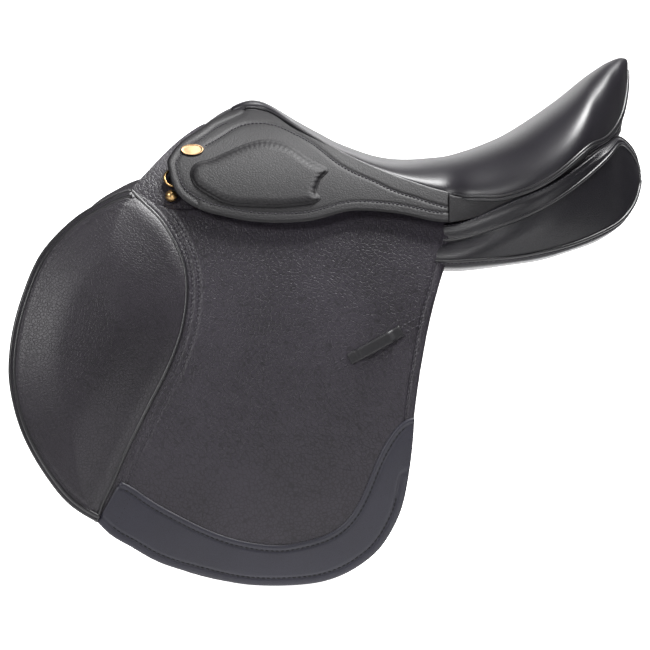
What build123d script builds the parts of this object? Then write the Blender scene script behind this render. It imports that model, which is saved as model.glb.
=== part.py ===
from build123d import *
import math
import os

# English jumping saddle, 17.5 inch seat.  Millimetres, +X towards the cantle, +Z up, the rider's left is -Y.
# The origin is on the centre plane, under the lowest point of the seat, level with the panels' underside.

os.makedirs("parts", exist_ok=True)

# ---- drape: the arch that every flap layer follows, seen along X -------------------------------------
hem_half_width = 190.0  # centre plane to the flap at the hem
hem_z = -268.0  # where the flap's lowest, upright stretch begins
side_r = 665.0  # long lower curve of the flap
side_turn = math.radians(27.5)
shoulder_r = 181.0  # tighter curve over the tree points
shoulder_turn = math.radians(69.6)
drape_reach = 420.0  # how far layers are extruded fore and aft before they are trimmed
side_reach = 320.0  # how far trimming prisms reach sideways

# ---- leather thicknesses and the layers' distances from the drape ------------------------------------
layer_gap = 0.05  # between layers stitched to each other
running_gap = 0.3  # between layers that move apart
flap_leather = 3.0
facing_leather = 1.9
trim_leather = 1.9
pad_rise = 8.8  # knee pad, proud of the flap base
piping_rise = 6.0
piping_width = 6.0
sweat_leather = 2.5
sweat_u = -14.0
strap_leather = 2.8
inner_strap_u = -10.0
outer_strap_u = -6.0
skirt_leather = 3.0
skirt_u = 13.0
skirt_pad_rise = 2.4
cap_leather = 2.2
badge_rise = 1.5

# ---- tree ---------------------------------------------------------------------------------------------
tree_u = -10.3  # outer face of the tree's rails in front
point_outer_u = -17.0
point_inner_u = -30.0
head_front_x = -178.0
head_rear_x = -140.0
point_tip_z = -10.0
rail_thickness = 10.0
rail_width = 26.0
rail_inset = 22.0  # seat's edge to the rail, behind
front_rail_inset = 6.0  # in front, before the rail is trimmed to the drape
plate_thickness = 2.0
plate_front_inset = 5.0
plate_rear_inset = 12.0
rivet_r = 2.2
spring_width = 12.0
spring_thickness = 1.5
web_thickness = 1.6
web_rise = 0.2
pommel_half = 13.5
cap_half = 19.0
cap_clearance = 1.0  # cap to the skirts beside it

# ---- seat -----------------------------------------------------------------------------------------------
cover_leather = 2.0
tail_leather = 2.8
tail_gap = 1.0  # seam to the tail band
# station, half width, height of the seam, height of the crown
seat_stations = [
    (-122, 24, 130, 137), (-94, 54, 112, 119), (-70, 68, 101, 107), (-33, 86, 86, 98), (0, 97, 76, 94),
    (26, 110, 70.3, 95), (55, 128, 68.7, 105), (80, 136, 71.7, 116), (100, 138, 79, 128),
    (122, 134, 91.8, 143), (139, 124, 105, 155), (153, 108, 114.4, 168), (166, 86, 118, 178),
    (180, 56, 130, 185), (191, 24, 152, 187.5),
]
seat_dip_z = 8.6  # the rails' middle lies this far under the seam
floor_leather = 1.5  # underlay that closes the cover below the foam

# ---- panels ---------------------------------------------------------------------------------------------
panel_inner_u = -48.0
panel_front_x = -165.0
panel_tail_x = 12.0
panel_band_top = 62.0
panel_band_bottom = -80.0
gullet_half = 38.0
# station, outer half width, underside, top
panel_stations = [
    (-5, 92, 6, 46), (31, 103, 0, 47), (50, 124, 1, 52), (72, 134, 4, 58), (100, 137, 8.5, 69),
    (134, 128, 17, 92), (166, 105, 29, 108), (188, 82, 50, 112), (200, 62, 70, 98),
]
panel_corner = 11.0

# ---- girthing -------------------------------------------------------------------------------------------
strap_x = {"front": -125.0, "middle": -80.0, "rear": -35.0}
strap_width = 25.0
strap_top_z = 58.0
strap_tip_z = -190.0
hole_pitch = 25.0
hole_count = 6
hole_r = 2.5
lowest_hole_z = -172.0

# ---- stirrup bar ----------------------------------------------------------------------------------------
bar_front_x = -152.0
bar_rear_x = -50.0
bar_z = 78.0
bar_height = 12.0
bar_thickness = 6.0
bar_u = 9.25  # middle of the bar
bar_leg = 12.0
bar_foot_z = 60.0  # the plate on the tree, from the leg's foot up to its rivets
bar_plate_top_z = 109.0
latch_pivot_x = -43.0
latch_nose_r = 5.0
latch_length = 15.0
latch_thickness = 5.0
latch_pin_r = 2.0
pin_clearance = 0.05
tab_thickness = 3.0

# ---- D-ring ---------------------------------------------------------------------------------------------
ring_wire_r = 1.4
ring_axis_x = -211.0
ring_z = 83.0
ring_r = 9.0
ring_straight = 7.0
ring_u = 8.2
chape_leather = 1.5
nail_x = -220.7
nail_z = 66.5
nail_r = 5.5

# ---- keeper ---------------------------------------------------------------------------------------------
keeper_x = -40.0
keeper_z = -59.5
keeper_length = 52.0
keeper_width = 9.5
keeper_tilt = 28.0
keeper_foot = 8.0
keeper_gap = 2.4
keeper_leather = 1.7

# ---- outlines, seen from the side (X, Z) ----------------------------------------------------------------
flap_head = [(-196, 128), (-219.8, 111.9), (-240.8, 90.6), (-256.8, 74)]
flap_front = [(-256.8, 74), (-283.8, 62), (-318, 37), (-347, -10.4), (-359, -64), (-356, -106),
              (-340, -148.7), (-305, -195.8), (-281.7, -210.5)]
flap_hem = [(-281.7, -210.5), (-253, -232), (-209.8, -252.3), (-157.8, -264.6), (-105.7, -265.5),
            (-71, -257.6), (-38, -234.8), (-18, -200), (-12, -174.4)]
flap_rear = [(-12, -174.4), (-6.7, -123), (4.2, -55), (15, -13), (25.3, 19.4), (31, 43)]
flap_top = [(31, 43), (10, 57), (-152, 57), (-164, 66), (-168, 112), (-196, 128)]
knee_seam = [(-281.7, -210.5), (-262.7, -164), (-223.3, -84), (-205.7, -28), (-206.7, 4), (-220.9, 35.6),
             (-256.8, 74)]
trim_upper = [(-262, -172), (-216.5, -202), (-163.7, -225), (-119.5, -230.5), (-84, -222), (-59.3, -201),
              (-40.7, -161), (-20.7, -128.4), (4, -122)]
skirt_front = [(-160, 143), (-187.5, 132.4), (-213.6, 113.8), (-223.5, 99), (-219.8, 78), (-201.7, 60),
               (-176.4, 51.3), (-129.7, 45)]
skirt_hem = [(-129.7, 45), (-93.7, 47.2), (-62, 54.5), (-39.9, 54.9), (0, 48.9), (25, 45.5)]
skirt_seam = [(25, 70), (-3.4, 77.5), (-39.5, 91), (-75.9, 108), (-113, 128.5), (-131.6, 139.5), (-160, 143)]
pad_top = [(-81.3, 89.3), (-112.7, 109.8), (-140, 115.5), (-176, 104), (-201.5, 93.8)]
pad_hem = [(-201.5, 93.8), (-203, 82), (-189.6, 69.8), (-148.4, 59.5), (-97.6, 61), (-88, 66), (-90, 76),
           (-81.3, 89.3)]
sweat_front = [(-40, 34), (-150, 34), (-215, -20), (-228, -110), (-205, -190), (-150, -226)]
sweat_rear = [(-150, -226), (-80, -230), (-34, -190), (-16, -100), (-10, 0), (-40, 34)]
badge_x = -203.0
badge_z = 107.6
badge_length = 20.5
badge_height = 9.3
badge_tilt = 11.0


def drape_parts(u):
    """Radii and centres of the drape's three curves at distance u outside the drape."""
    side_c = (side_r - hem_half_width, hem_z)
    shoulder_c = (
        side_c[0] - (side_r - shoulder_r) * math.cos(side_turn),
        side_c[1] + (side_r - shoulder_r) * math.sin(side_turn),
    )
    crest_r = shoulder_r - shoulder_c[0] / math.cos(shoulder_turn)
    crest_c = (0.0, shoulder_c[1] + (shoulder_r - crest_r) * math.sin(shoulder_turn))
    return (side_r + u, side_c), (shoulder_r + u, shoulder_c), (crest_r + u, crest_c)


def on_arc(arc, angle):
    """Point (y, z) on the left half of an arc, the angle counted up from level."""
    radius, centre = arc
    return (centre[0] - radius * math.cos(angle), centre[1] + radius * math.sin(angle))


def drape_y(z, u):
    """Half width of the layer u outside the drape at height z."""
    side, shoulder, crest = drape_parts(u)
    if z <= hem_z:
        return hem_half_width + u
    for (radius, centre), turn in ((side, side_turn), (shoulder, shoulder_turn)):
        if z <= centre[1] + radius * math.sin(turn):
            return math.sqrt(radius**2 - (z - centre[1]) ** 2) - centre[0]
    radius, centre = crest
    return math.sqrt(max(radius**2 - (z - centre[1]) ** 2, 0.0))


def drape_angle(z, u):
    """How far the layer's outward normal tilts up from level at height z, in radians."""
    side, shoulder, _ = drape_parts(u)
    radius, centre = shoulder if z > side[1][1] + side[0] * math.sin(side_turn) else side
    return math.asin((z - centre[1]) / radius)


def arch_face(u):
    """Everything inside the layer u, as a face seen along X."""
    side, shoulder, crest = drape_parts(u)
    foot_z = hem_z - 60
    left = [(-hem_half_width - u, hem_z), on_arc(side, side_turn / 2), on_arc(side, side_turn)]
    left += [on_arc(shoulder, (side_turn + shoulder_turn) / 2), on_arc(shoulder, shoulder_turn)]
    right = [(-y, z) for y, z in reversed(left)]
    top = (0.0, crest[1][1] + crest[0])
    edges = [
        Line((-hem_half_width - u, foot_z), left[0]),
        ThreePointArc(left[0], left[1], left[2]),
        ThreePointArc(left[2], left[3], left[4]),
        ThreePointArc(left[4], top, right[0]),
        ThreePointArc(right[0], right[1], right[2]),
        ThreePointArc(right[2], right[3], right[4]),
        Line(right[4], (hem_half_width + u, foot_z)),
        Line((hem_half_width + u, foot_z), (-hem_half_width - u, foot_z)),
    ]
    return Plane.YZ * make_face(edges)


def arch_solid(u, x0=-drape_reach, x1=drape_reach):
    return Pos(x0, 0, 0) * extrude(arch_face(u), amount=x1 - x0)


def layer(u0, u1, x0=-drape_reach, x1=drape_reach):
    """The sheet between two distances from the drape, over both sides."""
    return arch_solid(u1, x0, x1) - arch_solid(u0, x0, x1)


def outline(*runs):
    """Face in the side view from runs that share their ends: two points are a line, more a curve."""
    edges = []
    for run in runs:
        edges.append(Line(run[0], run[1]) if len(run) == 2 else Spline(*run))
    return make_face(edges)


def polygon(*points):
    return make_face(Polyline(*points, close=True))


def box_outline(x0, x1, z0, z1):
    return polygon((x0, z0), (x1, z0), (x1, z1), (x0, z1))


def prism(face, inner=0.0, outer=side_reach):
    """Side-view face carried out to the left, from inner to outer half widths."""
    if face.faces()[0].normal_at().Z < 0:
        face = Sketch() + [Face(item.outer_wire()) if item.normal_at().Z > 0 else -item for item in face.faces()]
    return Pos(0, -inner, 0) * extrude(Plane.XZ * face, amount=outer - inner)


def left_layer(face, u0, u1, inner=0.0):
    return layer(u0, u1) & prism(face, inner)


def between(x0, x1, z0=-400.0, z1=400.0):
    return Pos((x0 + x1) / 2, 0, (z0 + z1) / 2) * Box(x1 - x0, 2 * side_reach, z1 - z0)


def surface_plane(x, z, u):
    """Plane on the left layer u at (x, z): its normal points out and its X along the saddle."""
    tilt = drape_angle(z, u)
    normal = (0, -math.cos(tilt), math.sin(tilt))
    return Plane(origin=(x, -drape_y(z, u), z), x_dir=(1, 0, 0), z_dir=normal)


# ---- tree -------------------------------------------------------------------------------------------------


def seam_z(x):
    """Height of the seat's seam at station x."""
    for (x0, _, z0, _), (x1, _, z1, _) in zip(seat_stations, seat_stations[1:]):
        if x <= x1:
            return z0 + (z1 - z0) * (x - x0) / (x1 - x0)
    return seat_stations[-1][2]


def rail_line():
    """Side view of the rails' middle, from the head to the cantle."""
    head = [(head_front_x + 4, 104.0), (-120, 106.0)]
    return head + [(x, seam_z(x) - seat_dip_z) for x in (-94, -60, -20, 20, 60, 90, 120, 150, 176)]


def side_band(points, thickness, x0=-400.0, x1=400.0):
    """Slab that follows a side-view line at a constant upright thickness."""
    low = [(x, z - thickness / 2) for x, z in points]
    high = [(x, z + thickness / 2) for x, z in reversed(points)]
    face = make_face([Spline(*low), Line(low[-1], high[0]), Spline(*high), Line(high[-1], low[0])])
    return extrude(Plane.XZ * face, amount=side_reach, both=True) & between(x0, x1)


def plan_ring(inset, width):
    """Plan of a frame that runs inside the seat's edge, closed behind and open in front."""
    outer = plan_face(inset)
    inner = plan_face(inset + width)
    return outer - inner


def plan_face(inset):
    """Plan of the seat, moved in by inset: a curve down each side and round the cantle."""
    side = [(x, half) for x, half, _, _ in seat_stations[1:-1]]
    side = [(seat_stations[0][0] - 70, 12 + 22)] + side
    right = [(x, max(half - inset, 4.0)) for x, half in side]
    tip = (seat_stations[-1][0] + 4 - inset, 0)
    left = [(x, -y) for x, y in reversed(right)]
    return make_face([Spline(*right, tip, *left), Line(left[-1], right[0])])


def tall(face):
    return extrude(face, amount=400, both=True)


def tree_frame(seat):
    slab = side_band(rail_line(), rail_thickness)
    front = slab & tall(plan_ring(front_rail_inset, rail_inset + rail_width - front_rail_inset))
    front = front & arch_solid(tree_u, head_rear_x - plate_rear_inset + running_gap, 0)
    rear = slab & tall(plan_ring(rail_inset, rail_width)) & between(0, 400)
    head = layer(point_inner_u, point_outer_u, head_front_x, head_rear_x) & between(-400, 400, point_tip_z)
    frame = front + rear + head
    frame -= seat
    for x, y, z in rivet_seats():
        frame -= Pos(x, y, z) * Rot(90, 0, 0) * Cylinder(rivet_r, 400)
    for shank in bar_rivet_shanks():
        frame -= shank
        frame -= mirror(shank, Plane.XZ)
    return frame


def rivet_seats():
    """Rivets through the tree points and the two steel plates."""
    x = (head_front_x + plate_front_inset + head_rear_x - plate_rear_inset) / 2
    return [(x - 6, 0, 10.0), (x + 6, 0, 10.0), (x - 6, 0, 40.0), (x + 6, 0, 40.0)]


def head_plate():
    return tree_plate(point_outer_u + layer_gap, point_outer_u + layer_gap + plate_thickness)


def gullet_plate():
    return tree_plate(point_inner_u - layer_gap - plate_thickness, point_inner_u - layer_gap)


def tree_plate(u0, u1):
    plate = layer(u0, u1, head_front_x + plate_front_inset, head_rear_x - plate_rear_inset) & between(-400, 400, 0)
    for x, y, z in rivet_seats():
        plate -= Pos(x, y, z) * Rot(90, 0, 0) * Cylinder(rivet_r, 400)
    return plate


def head_rivets():
    """Eight rivets, each as long as the tree point and its plates are thick."""
    reach = plate_thickness + layer_gap
    stack = layer(point_inner_u - reach, point_outer_u + reach)
    rivets = []
    for x, y, z in rivet_seats():
        rod = Pos(x, y, z) * Rot(90, 0, 0) * Cylinder(rivet_r, 400)
        rivets += (rod & stack).solids()
    return Compound(children=rivets)


def spring(tree, seat):
    """Flat steel strip on top of the left rail, from the head to the cantle."""
    points = [(x, z + rail_thickness / 2 + spring_thickness / 2) for x, z in rail_line()[2:-2]]
    strip = side_band(points, spring_thickness) & tall(plan_ring(29, spring_width))
    strip = strip & Pos(0, -side_reach / 2 - 2, 0) * Box(800, side_reach, 800)
    return (strip - tree - seat).solids().sort_by(SortBy.VOLUME)[-1]


def seat_webbing(seat, springs):
    """Strained canvas across the rails, under the foam."""
    points = [(x, z + rail_thickness / 2 + web_rise + spring_thickness + web_thickness / 2) for x, z in rail_line()[2:-2]]
    sheet = side_band(points, web_thickness) & tall(plan_face(30))
    for item in (seat, *springs):
        sheet -= item
    return sheet.solids().sort_by(SortBy.VOLUME)[-1]


# ---- seat -------------------------------------------------------------------------------------------------


def seat_section(x, half, seam, crown, inset, drop):
    """Half-lens seen along X: flat underneath, rising fast at the edge and crowned in the middle."""
    half, crown, seam = half - inset, crown - inset, seam - drop
    rise = crown - seam
    top = [(-half, seam), (-0.86 * half, seam + 0.62 * rise), (-0.5 * half, seam + 0.93 * rise), (0, crown)]
    top += [(-y, z) for y, z in reversed(top[:-1])]
    face = make_face([Spline(*top), Line(top[-1], top[0])])
    return Plane(origin=(x, 0, 0), x_dir=(0, 1, 0), z_dir=(1, 0, 0)) * face


def seat_solid(inset=0.0, drop=0.0):
    """The seat's form, moved in by inset, its underside lowered by drop."""
    rows = list(seat_stations)
    if inset:
        rows[0] = (rows[0][0] + inset, *rows[0][1:])
        rows[-1] = (rows[-1][0] - inset, *rows[-1][1:])
    return loft([seat_section(*row, inset, drop) for row in rows])


def seat_foam():
    block = seat_solid(cover_leather + layer_gap, -floor_leather - layer_gap)
    return (block & seat_solid(cover_leather, -floor_leather)).solids().sort_by(SortBy.VOLUME)[-1]


def seat_cover(seat):
    """Leather skin all round the foam, closed below by its underlay."""
    return seat - seat_solid(cover_leather, -floor_leather)


def tail_band(seat, x0, x1):
    """Leather band under the seat's seam, round its edge."""
    low = [(26, 47.5), (60, 56.5), (85, 66.5), (122, 86.5), (146, 101.5), (162, 108), (186, 118), (200, 124)]
    high = [(x, seam_z(x) - tail_gap) for x in (200, 186, 172, 160, 148, 139, 122, 100, 80, 55, 26)]
    face = make_face([Spline(*low), Line(low[-1], high[0]), Spline(*high), Line(high[-1], low[0])])
    slab = extrude(Plane.XZ * face, amount=side_reach, both=True)
    return (slab & tall(plan_ring(0.6, tail_leather)) & between(x0, x1)) - seat


def pommel_block():
    """Shaped filler between the tree's head and the crest."""
    core = layer(point_outer_u + plate_thickness + running_gap, skirt_u + skirt_leather + 0.1, head_front_x + 6, -134)
    return core & Pos(0, 0, 150) * Box(800, 2 * pommel_half, 300)


def pommel_cap():
    base = skirt_u + skirt_leather + 0.2
    cap = layer(base, base + cap_leather, head_front_x - 4, -128)
    return cap & Pos(0, 0, 150) * Box(800, 2 * cap_half, 300)


# ---- panels -----------------------------------------------------------------------------------------------


def panel(tree, band_leather):
    """Left cushion: a band down beside the withers in front, a rolled pad under the seat behind."""
    front = head_rear_x + 1
    tail = [(panel_tail_x, panel_band_top), (panel_tail_x, 10), (panel_tail_x - 12, -25), (-50, panel_band_bottom)]
    side = make_face([Line((front, panel_band_bottom), (front, panel_band_top)),
                      Line((front, panel_band_top), tail[0]), Line(tail[0], tail[1]), Spline(*tail[1:]),
                      Line(tail[-1], (front, panel_band_bottom))])
    band = left_layer(side, panel_inner_u, sweat_u - running_gap)
    nose = left_layer(box_outline(panel_front_x, head_rear_x + 2, panel_band_bottom, panel_band_top),
                      panel_inner_u, point_inner_u - plate_thickness - running_gap)
    sections = []
    for x, half, low, high in panel_stations:
        width, height = half - gullet_half, high - low
        plane = Plane(origin=(x, -(half + gullet_half) / 2, (low + high) / 2), x_dir=(0, 1, 0), z_dir=(1, 0, 0))
        sections.append(plane * RectangleRounded(width, height, min(panel_corner, width / 2.2, height / 2.2)))
    pad = loft(sections)
    body = band + nose + pad
    body -= tree
    body -= band_leather
    return body.solids().sort_by(SortBy.VOLUME)[-1]


def gullet_lining():
    """Soft strip that closes the channel's roof between the two panels."""
    low = [(x, high - 8) for x, _, _, high in panel_stations[1:-1]]
    strip = side_band(low, 2.0) & Pos(100, 0, 0) * Box(400, 2 * gullet_half - 0.6, 400)
    return strip


# ---- girthing ---------------------------------------------------------------------------------------------


def sweat_flap():
    return left_layer(outline(sweat_front, sweat_rear), sweat_u, sweat_u + sweat_leather)


def strap_outline(x):
    half = strap_width / 2
    left, right, pivot_z = x - half, x + half, strap_top_z - half
    tip = [(right, pivot_z), (right, strap_tip_z + 12), (x + 5, strap_tip_z), (x - 5, strap_tip_z),
           (left, strap_tip_z + 12), (left, pivot_z)]
    return make_face([*Polyline(*tip).edges(), ThreePointArc(tip[-1], (x, strap_top_z), tip[0])])


def strap_layer(name):
    return outer_strap_u if name == "middle" else inner_strap_u


def girth_strap(name):
    """One girth strap with its row of punched holes."""
    x, u = strap_x[name], strap_layer(name)
    strap = left_layer(strap_outline(x), u, u + strap_leather)
    for i in range(hole_count):
        strap -= Pos(x, 0, lowest_hole_z + i * hole_pitch) * Rot(90, 0, 0) * Cylinder(hole_r, 2 * side_reach)
    return strap


def girth_webs(tree, seat):
    """Canvas webs that carry the three straps from the rail."""
    webs = []
    for name, x in strap_x.items():
        u = strap_layer(name)
        top = min(seam_z(x) - seat_dip_z - 1, 105.0)
        face = box_outline(x - strap_width / 2, x + strap_width / 2, strap_top_z + running_gap, top)
        web = left_layer(face, inner_strap_u, u + strap_leather)
        webs += (web - tree - seat).solids().sort_by(SortBy.VOLUME)[-1:]
    return Compound(children=webs)


# ---- stirrup bar --------------------------------------------------------------------------------------------


def flat_block(x0, x1, z_half, u_low, u_high):
    """Block on the bar's tilted plane, from x0 to x1 and between two distances from the drape."""
    plane = surface_plane(0, bar_z, bar_u)
    box = Pos((x0 + x1) / 2, 0, (u_low + u_high) / 2 - bar_u) * Box(x1 - x0, 2 * z_half, u_high - u_low)
    return plane * box


def bar_rivet_shanks():
    """Two rivets that hold the bar's plate on the side of the rail."""
    stack = layer(tree_u - 9, tree_u + 4.1)
    shanks = []
    for z in (102.0,):
        for x in (bar_front_x + 3, bar_front_x + bar_leg - 3):
            rod = Pos(x, 0, z) * Rot(90, 0, 0) * Cylinder(1.6, 2 * side_reach)
            shanks.append((rod & stack & Pos(0, -side_reach / 2, 0) * Box(800, side_reach, 800)).solids()[0])
    return shanks


def stirrup_bar():
    half = bar_height / 2
    bar = flat_block(bar_front_x, bar_rear_x, half, bar_u - bar_thickness / 2, bar_u + bar_thickness / 2)
    leg = flat_block(bar_front_x, bar_front_x + bar_leg, half, tree_u + 0.4, bar_u + bar_thickness / 2)
    plate = left_layer(box_outline(bar_front_x, bar_front_x + bar_leg, bar_foot_z, bar_plate_top_z), tree_u, tree_u + 4)
    tab_top = bar_u - bar_thickness / 2 + 0.2
    tab = flat_block(bar_rear_x - 12, latch_pivot_x + 5, half, tab_top - tab_thickness, tab_top)
    whole = bar + leg + plate + tab
    whole -= latch_pin_at(latch_pin_r)
    for shank in bar_rivet_shanks():
        whole -= shank
    return whole


def latch_pin_at(radius):
    plane = surface_plane(0, bar_z, bar_u)
    low = -bar_thickness / 2 + 0.2 - tab_thickness
    high = bar_thickness / 2
    return plane * (Pos(latch_pivot_x, 0, (low + high) / 2) * Cylinder(radius, high - low))


def bar_latch():
    """Thumb latch that closes the bar's open end."""
    plane = surface_plane(0, bar_z, bar_u)
    low = -bar_thickness / 2 + 0.5
    nose = Pos(latch_pivot_x, 0, low + latch_thickness / 2) * Cylinder(latch_nose_r, latch_thickness)
    finger = Pos(latch_pivot_x + latch_length / 2, 0, low + latch_thickness / 2) * Box(
        latch_length, 2 * latch_nose_r - 2, latch_thickness
    )
    return plane * (nose + finger) - latch_pin_at(latch_pin_r + pin_clearance)


# ---- flap -----------------------------------------------------------------------------------------------------


def flap_face():
    notch = [flap_top[i : i + 2] for i in range(len(flap_top) - 1)]
    return outline(flap_head, flap_front, flap_hem, flap_rear, *notch)


def inset_runs(distance, *runs):
    """The same closed chain of runs with every point moved inwards, corners along their bisectors."""
    loop = [point for run in runs for point in run[:-1]]
    area = sum(x0 * z1 - x1 * z0 for (x0, z0), (x1, z1) in zip(loop, loop[1:] + loop[:1]))
    moved = []
    for i, (x, z) in enumerate(loop):
        before, after = loop[i - 1], loop[(i + 1) % len(loop)]
        inwards = []
        for (x0, z0), (x1, z1) in ((before, (x, z)), ((x, z), after)):
            span = math.copysign(math.dist((x0, z0), (x1, z1)), area)
            inwards.append(((z0 - z1) / span, (x1 - x0) / span))
        bisector = (inwards[0][0] + inwards[1][0], inwards[0][1] + inwards[1][1])
        scale = 2 * distance / (bisector[0] ** 2 + bisector[1] ** 2)
        moved.append((x + bisector[0] * scale, z + bisector[1] * scale))
    moved.append(moved[0])
    result, start = [], 0
    for run in runs:
        result.append(moved[start : start + len(run)])
        start += len(run) - 1
    return result


def knee_face(inset=0.0):
    return outline(*inset_runs(inset, flap_front, knee_seam))


def flap_base():
    return left_layer(flap_face(), 0, flap_leather, pommel_half + 2.5)


def flap_facing():
    base = flap_leather + layer_gap
    return left_layer(flap_face() - knee_face(), base, base + facing_leather, pommel_half + 2.5)


def knee_pad():
    base = flap_leather + layer_gap
    return left_layer(knee_face(piping_width + running_gap), base, base + pad_rise)


def knee_piping():
    base = flap_leather + layer_gap
    return left_layer(knee_face() - knee_face(piping_width), base, base + piping_rise)


def trim_strip():
    base = flap_leather + facing_leather + 2 * layer_gap
    below = outline(trim_upper, [trim_upper[-1], (4, -300)], [(4, -300), (-300, -300)], [(-300, -300), trim_upper[0]])
    face = (flap_face() - knee_face()) & below
    return left_layer(face, base, base + trim_leather)


def keeper():
    """Leather loop for the girth strap's tail: two stitched feet and a raised bridge."""
    base = flap_leather + facing_leather + 2 * layer_gap
    place = Pos(keeper_x, keeper_z) * Rot(0, 0, keeper_tilt)
    whole = place * Rectangle(keeper_length, keeper_width)
    gap = place * Rectangle(keeper_length - 2 * keeper_foot, keeper_width + 2)
    top = base + keeper_gap + keeper_leather
    return left_layer(whole, base, top) - left_layer(gap, base - 1, base + keeper_gap)


# ---- front fittings ------------------------------------------------------------------------------------------


def dee_ring():
    """D-shaped wire ring; its straight side lies in the chape and is the axis it swings on."""
    plane = surface_plane(ring_axis_x, ring_z, ring_u)
    s = ring_straight
    path = Line((0, -s), (0, s)) + ThreePointArc((0, s), (-ring_r - s, 0), (0, -s))
    wire = Wire(path.edges())
    start = Plane(origin=wire @ 0, z_dir=wire % 0)
    ring = sweep(start * Circle(ring_wire_r), path=wire, transition=Transition.ROUND)
    return plane * ring


def dee_chape():
    """Leather loop that holds the ring's straight side."""
    plane = surface_plane(ring_axis_x, ring_z, ring_u)
    r = ring_wire_r + pin_clearance
    low = flap_leather + facing_leather + 2 * layer_gap + 0.15 - ring_u
    height = r + chape_leather - low
    body = Pos(5, 0, low + height / 2) * Box(16, 9, height)
    bore = Rot(90, 0, 0) * Cylinder(r, 40)
    return plane * (body - bore)


def saddle_nail():
    """Domed brass nail that pins the flap's head."""
    base = flap_leather + facing_leather + 2 * layer_gap + 0.2
    plane = surface_plane(nail_x, nail_z, base)
    ball = Pos(0, 0, 1.0) * Sphere(nail_r)
    upper = Pos(0, 0, 10) * Box(40, 40, 20)
    return plane * (ball & upper)


# ---- skirt ----------------------------------------------------------------------------------------------------


def skirt_face():
    return outline(skirt_front, skirt_hem, [skirt_hem[-1], skirt_seam[0]], skirt_seam)


def skirt():
    """Left skirt, cut back beside the pommel cap so that it clears the cap as it lifts."""
    return left_layer(skirt_face(), skirt_u, skirt_u + skirt_leather, cap_half + cap_clearance)


def skirt_pad():
    base = skirt_u + skirt_leather + layer_gap
    return left_layer(outline(pad_top, pad_hem), base, base + skirt_pad_rise)


def badge():
    """Plain brass oval."""
    base = skirt_u + skirt_leather + layer_gap + 0.1
    plane = surface_plane(badge_x, badge_z, base)
    return plane * (Rot(0, 0, badge_tilt) * extrude(Ellipse(badge_length / 2, badge_height / 2), amount=badge_rise))


# ---- write ----------------------------------------------------------------------------------------------------


def save(name, shape):
    export_step(shape, f"parts/{name}.step")


def save_pair(name, left):
    save(f"left_{name}", left)
    save(f"right_{name}", mirror(left, Plane.XZ))


seat = seat_solid()
tree = tree_frame(seat)
left_spring = spring(tree, seat)
right_spring = mirror(left_spring, Plane.XZ)
left_webs = girth_webs(tree, seat)
left_tail = tail_band(seat, 27, 160).solids().sort_by(Axis.Y)[0]

save("tree_frame", tree)
save("head_plate", head_plate())
save("gullet_plate", gullet_plate())
save("head_rivets", head_rivets())
save_pair("spring", left_spring)
save("seat_webbing", seat_webbing(seat, [left_spring, right_spring]))
save("seat_foam", seat_foam())
save("seat_cover", seat_cover(seat))
save("cantle_facing", tail_band(seat, 160.5, 200))
save("pommel_block", pommel_block())
save("pommel_cap", pommel_cap())
save("gullet_lining", gullet_lining())
save_pair("tail_band", left_tail)
save_pair("panel", panel(tree, left_tail))
save_pair("sweat_flap", sweat_flap())
save_pair("girth_webs", left_webs)
for strap_name in strap_x:
    save_pair(f"{strap_name}_girth_strap", girth_strap(strap_name))
save_pair("stirrup_bar", stirrup_bar())
save_pair("bar_rivets", Compound(children=bar_rivet_shanks()))
save_pair("latch_pin", latch_pin_at(latch_pin_r))
save_pair("bar_latch", bar_latch())
save_pair("flap_base", flap_base())
save_pair("flap_facing", flap_facing())
save_pair("knee_pad", knee_pad())
save_pair("knee_piping", knee_piping())
save_pair("trim_strip", trim_strip())
save_pair("keeper", keeper())
save_pair("dee_ring", dee_ring())
save_pair("dee_chape", dee_chape())
save_pair("saddle_nail", saddle_nail())
save_pair("skirt", skirt())
save_pair("skirt_pad", skirt_pad())
save_pair("badge", badge())
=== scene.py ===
"""Looks of an english jumping saddle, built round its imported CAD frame.

Sizes are in millimetres in the classes below and become metres when a mesh is made.  +X runs to the
cantle, +Z up and the rider's left is -Y.  Every leather layer of a flap or skirt lies a stated
distance outside one drape, the arch that hangs over the horse.
"""

import logging
import math
from dataclasses import dataclass, field
from enum import Enum

import bmesh
import bpy
import numpy as np
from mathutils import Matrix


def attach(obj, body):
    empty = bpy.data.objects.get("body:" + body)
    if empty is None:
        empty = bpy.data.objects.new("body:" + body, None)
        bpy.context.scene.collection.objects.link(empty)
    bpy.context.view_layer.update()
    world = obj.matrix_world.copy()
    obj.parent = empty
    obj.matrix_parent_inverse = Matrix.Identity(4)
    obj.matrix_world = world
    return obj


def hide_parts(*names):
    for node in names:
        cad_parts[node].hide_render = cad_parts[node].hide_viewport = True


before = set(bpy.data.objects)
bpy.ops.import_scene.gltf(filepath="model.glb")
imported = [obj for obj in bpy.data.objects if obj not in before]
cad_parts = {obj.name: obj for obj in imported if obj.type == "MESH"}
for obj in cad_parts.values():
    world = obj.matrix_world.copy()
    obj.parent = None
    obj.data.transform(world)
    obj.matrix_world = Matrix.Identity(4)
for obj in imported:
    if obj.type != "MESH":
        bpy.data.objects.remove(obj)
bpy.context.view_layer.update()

MM = 0.001
LOG = logging.getLogger("saddle")
Points = np.ndarray


class Side(Enum):
    """A half of the saddle, with the sign that its half widths take along Y."""

    LEFT = -1.0
    RIGHT = 1.0

    @property
    def label(self) -> str:
        """Prefix of this side's nodes, bodies and pieces."""
        return self.name.lower()


# ---- curves and grids ----------------------------------------------------------------------------


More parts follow.
